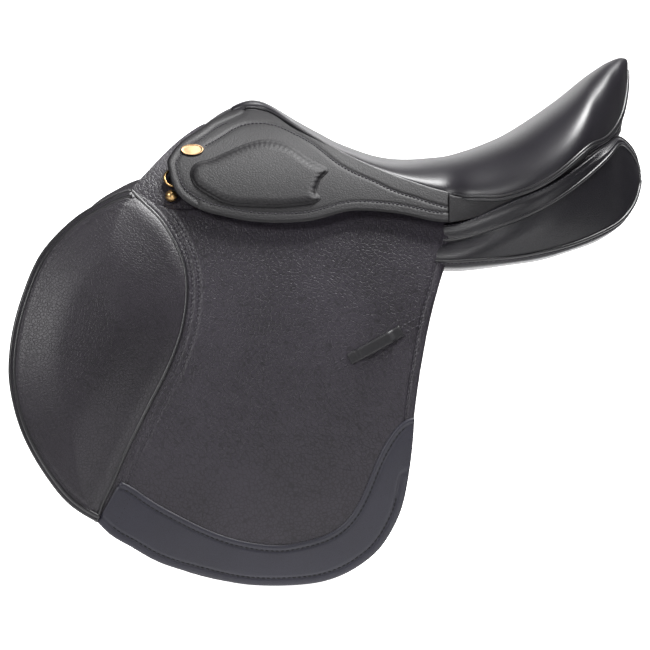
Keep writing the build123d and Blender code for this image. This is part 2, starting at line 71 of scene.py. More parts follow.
def spline(points: list[tuple[float, ...]], count: int) -> Points:
    """Natural cubic spline through points, sampled evenly along its chords.

    Each span is a cubic whose second derivative runs linearly between the knots' values, which
    solve the tridiagonal system that makes the slopes meet.

    Args:
        points: knots, each with any number of coordinates.
        count: number of samples.

    Returns:
        Array of count rows.
    """
    p = np.asarray(points, float)
    if len(p) == 2:
        return p[0] + (p[1] - p[0]) * np.linspace(0, 1, count)[:, None]
    t = np.r_[0, np.cumsum(np.linalg.norm(np.diff(p, axis=0), axis=1))]
    h = np.diff(t)
    n = len(p)
    a = np.eye(n)
    b = np.zeros_like(p)
    inner = np.arange(1, n - 1)
    a[inner, inner - 1], a[inner, inner], a[inner, inner + 1] = h[:-1], 2 * (h[:-1] + h[1:]), h[1:]
    slope = np.diff(p, axis=0) / h[:, None]
    b[inner] = 6 * np.diff(slope, axis=0)
    m = np.linalg.solve(a, b)
    s = np.linspace(0, t[-1], count)
    i = np.clip(np.searchsorted(t, s, side="right") - 1, 0, n - 2)
    w = (s - t[i])[:, None]
    g = h[i][:, None]
    cubic = (m[i + 1] - m[i]) / (6 * g) * w**3 + m[i] / 2 * w**2
    return p[i] + cubic + (slope[i] - g * (2 * m[i] + m[i + 1]) / 6) * w


def even(curve: Points, count: int) -> Points:
    """The same polyline resampled at count points evenly spaced along its length."""
    t = np.r_[0, np.cumsum(np.linalg.norm(np.diff(curve, axis=0), axis=1))]
    s = np.linspace(0, t[-1], count)
    return np.stack([np.interp(s, t, c) for c in curve.T], axis=1)


def coons(low: Points, high: Points, first: Points, last: Points) -> Points:
    """Patch inside four curves: the two ruled blends less the bilinear one through the corners.

    Args:
        low: curve at the second parameter's start, from the first curve's start.
        high: curve at the second parameter's end.
        first: curve at the first parameter's start, from low to high.
        last: curve at the first parameter's end.

    Returns:
        Grid of len(low) by len(first) points.
    """
    a = np.linspace(0, 1, len(low))[:, None, None]
    b = np.linspace(0, 1, len(first))[None, :, None]
    across = (1 - a) * first[None] + a * last[None]
    along = (1 - b) * low[:, None] + b * high[:, None]
    corners = (1 - a) * ((1 - b) * low[0] + b * high[0]) + a * ((1 - b) * low[-1] + b * high[-1])
    return across + along - corners


def distance(x: Points, z: Points, curve: Points) -> Points:
    """Shortest distance to a sampled curve.

    Each point is dropped square onto every segment, held to the segment's ends, and its nearest
    foot counts.

    Args:
        x: places along the saddle.
        z: heights, the same shape.
        curve: points (x, z) in order.

    Returns:
        Distances in the shape of x.
    """
    flat = np.stack([x.ravel(), z.ravel()], axis=1)[:, None]
    start, run = curve[:-1], np.diff(curve, axis=0)
    t = np.clip(((flat - start) * run).sum(axis=2) / np.maximum((run**2).sum(axis=1), 1e-9), 0, 1)
    feet = start + t[..., None] * run
    return np.linalg.norm(flat - feet, axis=2).min(axis=1).reshape(x.shape)


def inset(curve: Points, amount: float) -> Points:
    """Curve moved sideways by amount, to the left of its direction."""
    d = np.gradient(curve, axis=0)
    d /= np.maximum(np.linalg.norm(d, axis=1, keepdims=True), 1e-9)
    return curve + amount * np.stack([-d[:, 1], d[:, 0]], axis=1)


def ease(t: Points) -> Points:
    """Smoothstep of a value clipped to 0..1."""
    t = np.clip(t, 0, 1)
    return t * t * (3 - 2 * t)


def groove(d: Points, at: float, width: float) -> Points:
    """Gaussian of a distance about one value: 1 on it, fading over width."""
    return np.exp(-((d - at) / width) ** 2)


def bulge(d: Points, width: float) -> Points:
    """Quarter ellipse of a distance: 0 on a border, 1 from width onwards."""
    return np.sqrt(1 - (1 - np.clip(d / width, 0, 1)) ** 2)


def ripple(x: Points, z: Points, wave: float, seed: int) -> Points:
    """Gentle unevenness: a sum of seeded sine waves in random directions.

    Args:
        x: places along the saddle.
        z: heights, the same shape.
        wave: usual wavelength.
        seed: choice of waves.

    Returns:
        Values between about -1 and 1.
    """
    rng = np.random.default_rng(seed)
    total = np.zeros_like(x)
    for turn, phase, stretch in rng.uniform(0, 1, (7, 3)):
        k = 2 * math.pi / (wave * (0.6 + 0.9 * stretch))
        run = x * math.cos(2 * math.pi * turn) + z * math.sin(2 * math.pi * turn)
        total += np.sin(k * run + 6.3 * phase)
    return total / 4


@dataclass(frozen=True)
class Drape:
    """Arch of three arcs seen along X: a long side, a tighter shoulder and the crest."""

    hem_half_width: float = 190.0
    hem_z: float = -268.0
    side_r: float = 665.0
    side_turn: float = math.radians(27.5)
    shoulder_r: float = 181.0
    shoulder_turn: float = math.radians(69.6)

    @property
    def arcs(self) -> tuple[tuple[float, float, float], ...]:
        """Radius and centre (half width, height) of the side, the shoulder and the crest."""
        side_c = (self.hem_half_width - self.side_r, self.hem_z)
        gap = self.side_r - self.shoulder_r
        shoulder_c = (side_c[0] + gap * math.cos(self.side_turn),
                      side_c[1] + gap * math.sin(self.side_turn))
        crest_r = self.shoulder_r + shoulder_c[0] / math.cos(self.shoulder_turn)
        crest_c = (0.0, shoulder_c[1] + (self.shoulder_r - crest_r) * math.sin(self.shoulder_turn))
        return (self.side_r, *side_c), (self.shoulder_r, *shoulder_c), (crest_r, *crest_c)

    def half_width(self, z: Points, u: Points) -> Points:
        """Half width of a layer at a height, by Pythagoras on the arc that holds it.

        Args:
            z: heights.
            u: how far outside the drape the layer lies.

        Returns:
            Half widths, straight down below the hem's height.
        """
        z, u = np.broadcast_arrays(np.asarray(z, float), np.asarray(u, float))
        (r1, y1, z1), (r2, y2, z2), (r3, y3, z3) = self.arcs
        side = y1 + np.sqrt(np.maximum((r1 + u) ** 2 - (z - z1) ** 2, 0))
        shoulder = y2 + np.sqrt(np.maximum((r2 + u) ** 2 - (z - z2) ** 2, 0))
        crest = y3 + np.sqrt(np.maximum((r3 + u) ** 2 - (z - z3) ** 2, 0))
        low = z <= z1 + (r1 + u) * math.sin(self.side_turn)
        mid = z <= z2 + (r2 + u) * math.sin(self.shoulder_turn)
        hem = z <= z1
        arch = np.where(low, side, np.where(mid, shoulder, crest))
        return np.where(hem, self.hem_half_width + u, arch)

    def place(self, x: Points, z: Points, u: Points, side: Side) -> Points:
        """Points (x, y, z) on the layer u of one side."""
        x, z, u = np.broadcast_arrays(np.asarray(x, float), z, u)
        return np.stack([x, side.value * self.half_width(z, u), z], axis=-1)

    def normal(self, z: Points, u: Points, side: Side) -> Points:
        """Outward unit normals of the layer u, from its slope in height."""
        slope = self.half_width(np.asarray(z) + 0.5, u) - self.half_width(np.asarray(z) - 0.5, u)
        n = np.stack([np.zeros_like(slope), np.full_like(slope, side.value), -slope], axis=-1)
        return n / np.linalg.norm(n, axis=-1, keepdims=True)


DRAPE = Drape()


# ---- meshes --------------------------------------------------------------------------------------


def make_object(name: str, vertices: Points, faces: list) -> bpy.types.Object:
    """Smooth mesh object, merged where its points meet and turned to face outwards.

    Args:
        name: the piece's name.
        vertices: points in millimetres.
        faces: vertex indices of each face.

    Returns:
        The new object, in metres.
    """
    mesh = bpy.data.meshes.new(name)
    mesh.from_pydata((np.asarray(vertices) * MM).tolist(), [], faces)
    bm = bmesh.new()
    bm.from_mesh(mesh)
    bmesh.ops.remove_doubles(bm, verts=bm.verts, dist=2e-6)
    bmesh.ops.dissolve_degenerate(bm, edges=bm.edges, dist=1e-6)
    bmesh.ops.recalc_face_normals(bm, faces=bm.faces)
    bm.to_mesh(mesh)
    bm.free()
    mesh.polygons.foreach_set("use_smooth", np.full(len(mesh.polygons), True))
    obj = bpy.data.objects.new(name, mesh)
    bpy.context.scene.collection.objects.link(obj)
    return obj


def quads(rows: int, columns: int, wrap: bool = False) -> Points:
    """Quad indices of a grid stored row by row; wrap joins the last column to the first."""
    i = np.arange(rows - 1)[:, None]
    j = np.arange(columns if wrap else columns - 1)[None, :]
    k = (j + 1) % columns
    near, far = i * columns, (i + 1) * columns
    corners = np.broadcast_arrays(near + j, near + k, far + k, far + j)
    return np.stack(corners, axis=-1).reshape(-1, 4)


def shell(name: str, top: Points, bottom: Points, wrap: bool = False) -> bpy.types.Object:
    """Closed leather: an upper and a lower grid joined round their borders.

    Args:
        name: the piece's name.
        top: grid of upper points.
        bottom: grid of lower points, the same shape.
        wrap: the columns close on themselves, so only the last row has a border.

    Returns:
        The new object.
    """
    rows, columns = top.shape[:2]
    size = rows * columns
    upper = quads(rows, columns, wrap)
    ring = np.arange(size).reshape(rows, columns)
    if wrap:
        borders = [np.r_[ring[-1], ring[-1, 0]]]
    else:
        borders = [ring[0], ring[-1], ring[:, 0], ring[:, -1]]
    walls = [np.stack([b[:-1], b[1:], b[1:] + size, b[:-1] + size], axis=1) for b in borders]
    faces = np.concatenate([upper, upper[:, ::-1] + size, *walls])
    points = np.concatenate([top.reshape(-1, 3), bottom.reshape(-1, 3)])
    return make_object(name, points, faces.tolist())


def tube(name: str, path: Points, radius: float, sides: int = 10) -> bpy.types.Object:
    """Round piping: circles square to a path, placed by its tangent and the upward vector.

    Args:
        name: the piece's name.
        path: middle line.
        radius: half the piping's thickness.
        sides: points of each circle.

    Returns:
        The new object, closed at both ends.
    """
    d = np.gradient(path, axis=0)
    d /= np.maximum(np.linalg.norm(d, axis=1, keepdims=True), 1e-9)
    a = np.cross(d, np.array([0.0, 0.0, 1.0]))
    a /= np.maximum(np.linalg.norm(a, axis=1, keepdims=True), 1e-6)
    b = np.cross(d, a)
    t = np.linspace(0, 2 * math.pi, sides, endpoint=False)[None, :, None]
    grid = path[:, None] + radius * (np.cos(t) * a[:, None] + np.sin(t) * b[:, None])
    last = (len(path) - 1) * sides
    faces = quads(len(path), sides, True).tolist()
    faces += [list(range(sides)), list(range(last, last + sides))]
    return make_object(name, grid.reshape(-1, 3), faces)


def stitches(name: str, path: Points, normals: Points, pitch: float, thread: float = 0.55,
             lift: float = 0.15) -> bpy.types.Object:
    """Row of sewn threads: one small spindle of four sides for each pitch along a path.

    A spindle's half thickness is the thread's times sqrt(1 - s squared), with s running -1 to 1
    along it.

    Args:
        name: the piece's name.
        path: line that is sewn.
        normals: outward direction at each point of the path.
        pitch: distance from one thread to the next.
        thread: half thickness.
        lift: height of a thread's middle above the path.

    Returns:
        The new object.
    """
    length = np.linalg.norm(np.diff(path, axis=0), axis=1)
    along = np.r_[0, np.cumsum(length)]
    count = max(int(along[-1] / pitch), 1)
    centres = (np.arange(count) + 0.5) * along[-1] / count
    mid = np.stack([np.interp(centres, along, c) for c in path.T], axis=1)
    ahead = np.stack([np.interp(centres + 0.3, along, c) for c in path.T], axis=1)
    n = np.stack([np.interp(centres, along, c) for c in normals.T], axis=1)
    n /= np.linalg.norm(n, axis=1, keepdims=True)
    d = ahead - mid
    d /= np.maximum(np.linalg.norm(d, axis=1, keepdims=True), 1e-9)
    side = np.cross(n, d)
    s = np.array([-1.0, -0.75, 0.0, 0.75, 1.0])
    r = thread * np.sqrt(np.maximum(1 - s**2, 0.06))
    t = np.linspace(0, 2 * math.pi, 5, endpoint=False)
    half = 0.36 * pitch
    ring = (mid[:, None, None] + d[:, None, None] * (half * s)[None, :, None, None]
            + n[:, None, None] * (lift - 0.25 * s**2)[None, :, None, None]
            + (np.cos(t)[None, None, :, None] * side[:, None, None]
               + np.sin(t)[None, None, :, None] * n[:, None, None]) * r[None, :, None, None])
    one = quads(len(s), len(t), True)
    start = np.arange(count)[:, None] * len(s) * len(t)
    faces = (one[None] + start[..., None]).reshape(-1, 4).tolist()
    caps = (start + np.arange(len(t)), start + (len(s) - 1) * len(t) + np.arange(len(t)))
    faces += [face for cap in caps for face in cap.tolist()]
    return make_object(name, ring.reshape(-1, 3), faces)


# ---- materials -----------------------------------------------------------------------------------


class Value:
    """Shader socket that ordinary operators combine through Math nodes."""

    def __init__(self, nodes: "Nodes", socket: bpy.types.NodeSocket):
        """Wrap an output socket of a material's nodes."""
        self.nodes, self.socket = nodes, socket

    def _math(self, operation: str, *inputs: "Value | float") -> "Value":
        """Math node of one operation."""
        sockets = dict(enumerate(inputs))
        return self.nodes.add("ShaderNodeMath", {"operation": operation}, sockets)[0]

    def __add__(self, other: "Value | float") -> "Value":
        """Sum."""
        return self._math("ADD", self, other)

    def __sub__(self, other: "Value | float") -> "Value":
        """Difference."""
        return self._math("SUBTRACT", self, other)

    def __mul__(self, other: "Value | float") -> "Value":
        """Product."""
        return self._math("MULTIPLY", self, other)

    def step(self, low: float, high: float) -> "Value":
        """Smooth rise from 0 at low to 1 at high."""
        return self.nodes.add("ShaderNodeMapRange", {"interpolation_type": "SMOOTHSTEP"},
                              {0: self, 1: low, 2: high, 3: 0.0, 4: 1.0})[0]


class Nodes:
    """Node tree of one material, filled by one method."""

    def __init__(self, name: str):
        """Start an empty tree with its output."""
        self.material = bpy.data.materials.new(name)
        self.material.use_nodes = True
        self.tree = self.material.node_tree
        self.tree.nodes.clear()

    def add(self, kind: str, settings: dict | None = None,
            inputs: dict | None = None) -> list[Value]:
        """Add one node.

        Args:
            kind: node type.
            settings: attributes, set before any socket.
            inputs: socket name or index to a Value to link or a constant to set.

        Returns:
            A Value for each enabled output.
        """
        node = self.tree.nodes.new(kind)
        for key, value in (settings or {}).items():
            setattr(node, key, value)
        for key, value in (inputs or {}).items():
            socket = node.inputs[key]
            if isinstance(value, Value):
                self.tree.links.new(value.socket, socket)
            else:
                socket.default_value = value
        return [Value(self, output) for output in node.outputs if output.enabled]

    def noise(self, where: Value, scale: float, detail: float = 2.0) -> Value:
        """Noise texture at a scale in cycles per metre."""
        inputs = {"Vector": where, "Scale": scale, "Detail": detail}
        return self.add("ShaderNodeTexNoise", {}, inputs)[0]

    def cells(self, where: Value, scale: float, feature: str) -> Value:
        """Voronoi distance."""
        inputs = {"Vector": where, "Scale": scale}
        return self.add("ShaderNodeTexVoronoi", {"feature": feature}, inputs)[0]

    def blend(self, factor: Value | float, a: tuple | Value, b: tuple | Value) -> Value:
        """Colour mixed from a to b."""
        return self.add("ShaderNodeMix", {"data_type": "RGBA"}, {0: factor, 6: a, 7: b})[0]

    def bump(self, height: Value, strength: float, depth: float) -> Value:
        """Bumped normal from a height in units of depth metres."""
        inputs = {"Strength": strength, "Distance": depth, "Height": height}
        return self.add("ShaderNodeBump", {}, inputs)[0]


def srgb(r: float, g: float, b: float) -> tuple[float, float, float, float]:
    """Linear colour from 0..255 display values."""
    c = np.array([r, g, b]) / 255
    return (*np.where(c <= 0.04045, c / 12.92, ((c + 0.055) / 1.055) ** 2.4).tolist(), 1.0)


@dataclass(frozen=True)
class Leather:
    """Dyed leather: pebbled or smooth grain with slight wear in colour and shine."""

    name: str
    dark: tuple[float, float, float]
    light: tuple[float, float, float]
    rough: float = 0.5
    rough_span: float = 0.12
    grain: float = 900.0
    pebble: float = 0.5
    depth: float = 0.0005
    coat: float = 0.0

    def build(self) -> bpy.types.Material:
        """Build it: pebbles are smoothed Voronoi cells over a fine noise, and colour follows."""
        n = Nodes(self.name)
        where = n.add("ShaderNodeTexCoord")[3]
        push = n.add("ShaderNodeTexNoise", {}, {"Vector": where, "Scale": self.grain * 0.5})[1]
        warp = n.add("ShaderNodeVectorMath", {"operation": "MULTIPLY_ADD"},
                     {0: push, 1: (0.0011,) * 3, 2: where})[0]
        pebbles = n.cells(warp, self.grain, "SMOOTH_F1")
        creases = n.cells(warp, self.grain * 0.55, "DISTANCE_TO_EDGE").step(0.0, 0.16)
        fine = n.noise(where, self.grain * 2.6, 3.0)
        broad = n.noise(where, 14.0, 3.0)
        height = creases * 0.55 + fine * 0.35 - pebbles * 0.6
        tint = (creases * 0.35 + broad * 0.65).step(0.15, 0.85)
        colour = n.blend(tint, srgb(*self.dark), srgb(*self.light))
        rough = broad * self.rough_span + (self.rough - 0.5 * self.rough_span) - creases * 0.04
        surface = n.add("ShaderNodeBsdfPrincipled", {}, {
            "Base Color": colour, "Roughness": rough, "Coat Weight": self.coat,
            "Coat Roughness": 0.32, "IOR": 1.42,
            "Normal": n.bump(height, self.pebble, self.depth)})[0]
        n.add("ShaderNodeOutputMaterial", {}, {"Surface": surface})
        return n.material


@dataclass(frozen=True)
class Metal:
    """Plated or plain metal with faint brushing and handling marks."""

    name: str
    colour: tuple[float, float, float]
    rough: float = 0.28
    metallic: float = 1.0

    def build(self) -> bpy.types.Material:
        """Noise varies the roughness and lowers the colour a little in the marks."""
        n = Nodes(self.name)
        where = n.add("ShaderNodeTexCoord")[3]
        broad, fine = n.noise(where, 160.0, 4.0), n.noise(where, 2400.0)
        base = srgb(*self.colour)
        dim = tuple(0.72 * c for c in base[:3]) + (1.0,)
        surface = n.add("ShaderNodeBsdfPrincipled", {}, {
            "Base Color": n.blend(broad.step(0.3, 0.62), dim, base), "Metallic": self.metallic,
            "Roughness": broad * 0.16 + (self.rough - 0.06),
            "Normal": n.bump(fine, 0.25, 0.0001)})[0]
        n.add("ShaderNodeOutputMaterial", {}, {"Surface": surface})
        return n.material


@dataclass(frozen=True)
class Weave:
    """Woven canvas or webbing: crossed waves as threads."""

    name: str
    colour: tuple[float, float, float]
    threads: float = 700.0

    def build(self) -> bpy.types.Material:
        """Two wave textures, along X and along Z, give the threads' height; where it is low the
        colour is darkened as painted shade between the threads.
        """
        n = Nodes(self.name)
        where = n.add("ShaderNodeTexCoord")[3]
        inputs = {"Vector": where, "Scale": self.threads * 0.3, "Distortion": 0.6}
        waves = [n.add("ShaderNodeTexWave", {"bands_direction": axis}, inputs)[1] for axis in "XZ"]
        height = waves[0] * 0.5 + waves[1] * 0.5
        base = srgb(*self.colour)
        # dim is the colour of the dips between threads: painted shade, not a darker thread
        dim = tuple(0.55 * c for c in base[:3]) + (1.0,)
        surface = n.add("ShaderNodeBsdfPrincipled", {}, {
            "Base Color": n.blend(height, dim, base),
            "Roughness": n.noise(where, 60.0) * 0.2 + 0.75,
            "Normal": n.bump(height, 0.5, 0.0004)})[0]
        n.add("ShaderNodeOutputMaterial", {}, {"Surface": surface})
        return n.material


@dataclass(frozen=True)
class Matte:
    """Foam, wood or thread: a dull speckled colour, stretched along one axis for wood."""

    name: str
    dark: tuple[float, float, float]
    light: tuple[float, float, float]
    scale: float = 400.0
    stretch: tuple[float, float, float] = (1.0, 1.0, 1.0)
    rough: float = 0.85

    def build(self) -> bpy.types.Material:
        """Noise in stretched object coordinates drives the colour, the roughness and a low bump."""
        n = Nodes(self.name)
        where = n.add("ShaderNodeTexCoord")[3]
        pulled = n.add("ShaderNodeVectorMath", {"operation": "MULTIPLY"},
                       {0: where, 1: self.stretch})[0]
        speck = n.noise(pulled, self.scale, 4.0)
        surface = n.add("ShaderNodeBsdfPrincipled", {}, {
            "Base Color": n.blend(speck.step(0.3, 0.7), srgb(*self.dark), srgb(*self.light)),
            "Roughness": speck * 0.1 + (self.rough - 0.05),
            "Normal": n.bump(speck, 0.4, 0.0004)})[0]
        n.add("ShaderNodeOutputMaterial", {}, {"Surface": surface})
        return n.material


MATERIALS: dict[str, bpy.types.Material] = {}


class Finish(Enum):
    """The saddle's materials."""

    SEAT = Leather("seat_leather", (17, 15, 20), (27, 25, 31),
                   0.44, 0.08, 1000.0, 0.6, 0.0001, 0.18)
    SKIRT = Leather("skirt_leather", (7, 6, 8), (17, 15, 19), 0.58, 0.10, 700.0, 0.8, 0.00016)
    FLAP = Leather("grained_leather", (22, 19, 24), (42, 38, 46), 0.47, 0.12, 540.0, 0.9, 0.00026)
    KNEE = Leather("knee_leather", (17, 14, 19), (34, 30, 37), 0.45, 0.12, 640.0, 0.9, 0.00014)
    PANEL = Leather("panel_leather", (11, 10, 14), (21, 19, 25),
                    0.42, 0.10, 1000.0, 0.6, 0.00022, 0.1)
    TRIM = Leather("trim_leather", (23, 22, 31), (34, 33, 45),
                   0.48, 0.10, 1600.0, 0.30, 0.0002, 0.1)
    SMOOTH = Leather("smooth_leather", (16, 15, 18), (28, 27, 30), 0.48, 0.10, 1500.0, 0.30, 0.0002)
    STRAP = Leather("strap_leather", (16, 14, 15), (29, 27, 28), 0.50, 0.12, 1100.0, 0.35, 0.0003)
    PIPING = Leather("piping_leather", (16, 15, 18), (30, 29, 32),
                     0.38, 0.08, 1800.0, 0.20, 0.0002, 0.2)
    THREAD = Matte("sewing_thread", (40, 38, 44), (66, 63, 70), 3000.0, rough=0.8)
    DARK_THREAD = Matte("dark_thread", (3, 3, 5), (12, 12, 16), 3000.0, rough=0.8)
    CANVAS = Weave("canvas", (150, 138, 112))
    FOAM = Matte("foam", (196, 180, 128), (214, 200, 152), 900.0)
    WOOD = Matte("tree_wood", (148, 104, 62), (196, 150, 98), 45.0, (0.35, 3.0, 3.0), 0.6)
    STEEL = Metal("tree_steel", (120, 122, 126), 0.42)
    BAR = Metal("bar_steel", (186, 188, 190), 0.22)
    BRASS = Metal("brass_fittings", (186, 152, 104), 0.32)
    BADGE = Metal("badge_brass", (172, 142, 108), 0.48)

    @property
    def material(self) -> bpy.types.Material:
        """The finish's material, built once."""
        return MATERIALS.get(self.name) or MATERIALS.setdefault(self.name, self.value.build())


def dress(obj: bpy.types.Object, finish: Finish, body: str, *replaces: str,
          fill: float | None = None) -> None:
    """Give a new piece its material, its body and its part in the frame.

    Args:
        obj: the piece.
        finish: its material.
        body: the frame body it rides.
        replaces: CAD nodes it is shown in place of.
        fill: plumpness of a pad, 0 to 1; not used.
    """
    obj.data.materials.clear()
    obj.data.materials.append(finish.material)
    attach(obj, body)
    if replaces:
        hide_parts(*replaces)
    LOG.info("%s: %d faces, rides %s", obj.name, len(obj.data.polygons), body)


# ---- the saddle's leather, layer by layer --------------------------------------------------------


@dataclass
class Seam:
    """Curve in side view, sampled, that a piece is cut, creased or sewn along."""

    points: list[tuple[float, float]]
    count: int = 160

    @property
    def curve(self) -> Points:
        """Evenly sampled spline."""
        return even(spline(self.points, 4 * self.count), self.count)


FLAP_FRONT = [
    (-256.8, 73), (-265.6, 70.6), (-283.8, 62), (-301, 51.8), (-318, 37.3), (-335, 16.8),
    (-347, -10.4), (-355, -38), (-359, -64), (-359, -89), (-356, -106), (-348.8, -130),
    (-340, -148.7), (-322.5, -176), (-305, -195.8), (-281.7, -210.5),
]
FLAP_HEM = [
    (-281.7, -210.5), (-270, -222), (-253, -232), (-236, -242), (-210, -252), (-184, -259),
    (-158, -264.6), (-132, -266.4), (-106, -265.5), (-88, -263), (-71, -257.6), (-53.6, -248),
    (-38, -235), (-26, -217.5), (-18, -200), (-12, -174),
]
FLAP_REAR = [
    (-12, -174), (-8.5, -149), (-6.7, -123), (-2.2, -89), (4.2, -55), (9.7, -30), (15, -13),
    (20.7, 8), (25.3, 19), (29, 32), (31, 44),
]
KNEE_SEAM = [
    (-256.8, 73), (-243, 60), (-232, 50), (-221, 35.6), (-212.7, 21), (-206.7, 4), (-205, -12),
    (-205.7, -28), (-209, -47), (-215, -65.5), (-223, -84), (-233.6, -104.5), (-244, -125),
    (-254.5, -146), (-262.7, -164), (-269, -178.6), (-277.4, -196), (-281.7, -210.5),
]
TRIM_TOP = [
    (-260.8, -175.7), (-253.8, -179), (-238, -189.5), (-216.5, -202), (-190.6, -215),
    (-163.7, -225), (-137, -230), (-119.5, -230.5), (-102, -227.5), (-84, -222), (-70, -213.6),
    (-59, -201), (-50, -184), (-40.7, -161), (-31, -142), (-20.7, -128.4), (-12, -122.4),
    (-6.2, -121),
]
SKIRT_FRONT = [
    (-164, 143), (-176, 138), (-187.5, 132.4), (-196, 126), (-207, 119), (-213.6, 114), (-219, 108),
    (-223, 102), (-224.8, 98), (-223.8, 92), (-222.6, 86.8), (-219.8, 78.3), (-216, 71.5),
    (-210, 65.5), (-201.7, 60),
]
SKIRT_HEM = [
    (-201.7, 60), (-190.6, 55), (-176.4, 51.3), (-165, 48.8), (-150, 46.4), (-129.7, 45),
    (-110, 45.5), (-93.7, 47.2), (-77.8, 51.5), (-62, 55), (-40, 55), (-18, 52.7), (-0.4, 49),
    (12.8, 46.4), (25, 45.5),
]
WELT_SEAM = [
    (-164, 143), (-153, 144.6), (-143.7, 144), (-131.6, 140.5), (-113, 129.5), (-94, 119),
    (-76, 109), (-57, 99.5), (-39.5, 92), (-22, 85), (-3.4, 78.3), (14, 73), (25.6, 70.6),
]
SKIRT_STITCH = [
    (-192, 110.6), (-176.7, 119), (-162.7, 127), (-146, 130), (-131, 128.6), (-113, 121.7),
    (-94, 111.5), (-76, 98), (-57.8, 87.6), (-39.7, 80), (-22, 72), (-3.6, 66.4), (13.9, 60.8),
    (24, 58.4),
]
PAD_OUTLINE = [
    (-81, 89), (-94, 98), (-112.7, 110), (-127, 115), (-140, 116), (-156.7, 112), (-176, 104),
    (-188.8, 99), (-201.5, 94), (-204, 88.5), (-202, 80), (-189.6, 70), (-175, 62.6), (-148, 59),
    (-121, 58.7), (-97.6, 61), (-90, 63), (-87.5, 66), (-91, 70.6), (-90, 76.6), (-86.7, 83),
]


def closed_curve(points: list[tuple[float, float]], count: int) -> Points:
    """Smooth closed loop: a spline over more than one turn, cut where it comes back to its start.

    Args:
        points: knots (x, z) in order.
        count: number of samples.

    Returns:
        Evenly spaced points, the first not repeated.
    """
    n = len(points)
    whole = spline((3 * points)[n - 4:2 * n + 5], 60 * n)
    start = np.array(points[0])
    first = np.argmin(np.linalg.norm(whole[:30 * n] - start, axis=1))
    later = first + 20 * n
    last = later + np.argmin(np.linalg.norm(whole[later:] - start, axis=1))
    return even(whole[first:last + 1], count + 1)[:-1]


def disc(loop: Points, middle: Points, rings: int = 60) -> Points:
    """Grid of rings that grow from a middle point to a loop."""
    return middle + (loop - middle) * np.linspace(0, 1, rings)[:, None, None]


def patch_xz(low: list, high: list, first: list, last: list, size: tuple[int, int]) -> Points:
    """Coons patch in side view from four point lists, as coons() takes them, with size points."""
    a, b = size
    ends = [even(spline(run, 400), n) for run, n in ((low, a), (high, a), (first, b), (last, b))]
    return coons(*ends)


@dataclass
class Draped:
    """Leatherwork of one side that lies in layers outside the drape."""

    side: Side
    pitch: float = 3.6

    @property
    def body(self) -> str:
        """The frame body that it rides."""
        return "root"

    def layer(self, name: str, finish: Finish, x: Points, z: Points, high: Points,
              low: Points | float, *replaces: str, fill: float | None = None,
              wrap: bool = False) -> None:
        """Leather between two layers.

        Args:
            name: the piece's name without its side.
            finish: its material.
            x: grid of places along the saddle.
            z: grid of heights.
            high: distance of its outer face outside the drape.
            low: the same for its inner face.
            replaces: CAD nodes it is shown in place of, without their side.
            fill: plumpness of a pad, 0 to 1.
            wrap: the grid's columns close on themselves.
        """
        label = self.side.label
        faces = [DRAPE.place(x, z, u, self.side) for u in (high, low)]
        dress(shell(f"{label}_{name}", *faces, wrap), finish, self.body,
              *[f"{label}_{node}" for node in replaces], fill=fill)

    def sew(self, name: str, curve: Points, u: float, finish: Finish = Finish.THREAD) -> None:
        """Stitch along a curve.

        Args:
            name: the row's name without its side.
            curve: points (x, z).
            u: distance of the leather's face outside the drape.
            finish: the thread.
        """
        path = DRAPE.place(curve[:, 0], curve[:, 1], u, self.side)
        normals = DRAPE.normal(curve[:, 1], u, self.side)
        dress(stitches(f"{self.side.label}_{name}", path, normals, self.pitch), finish, self.body)


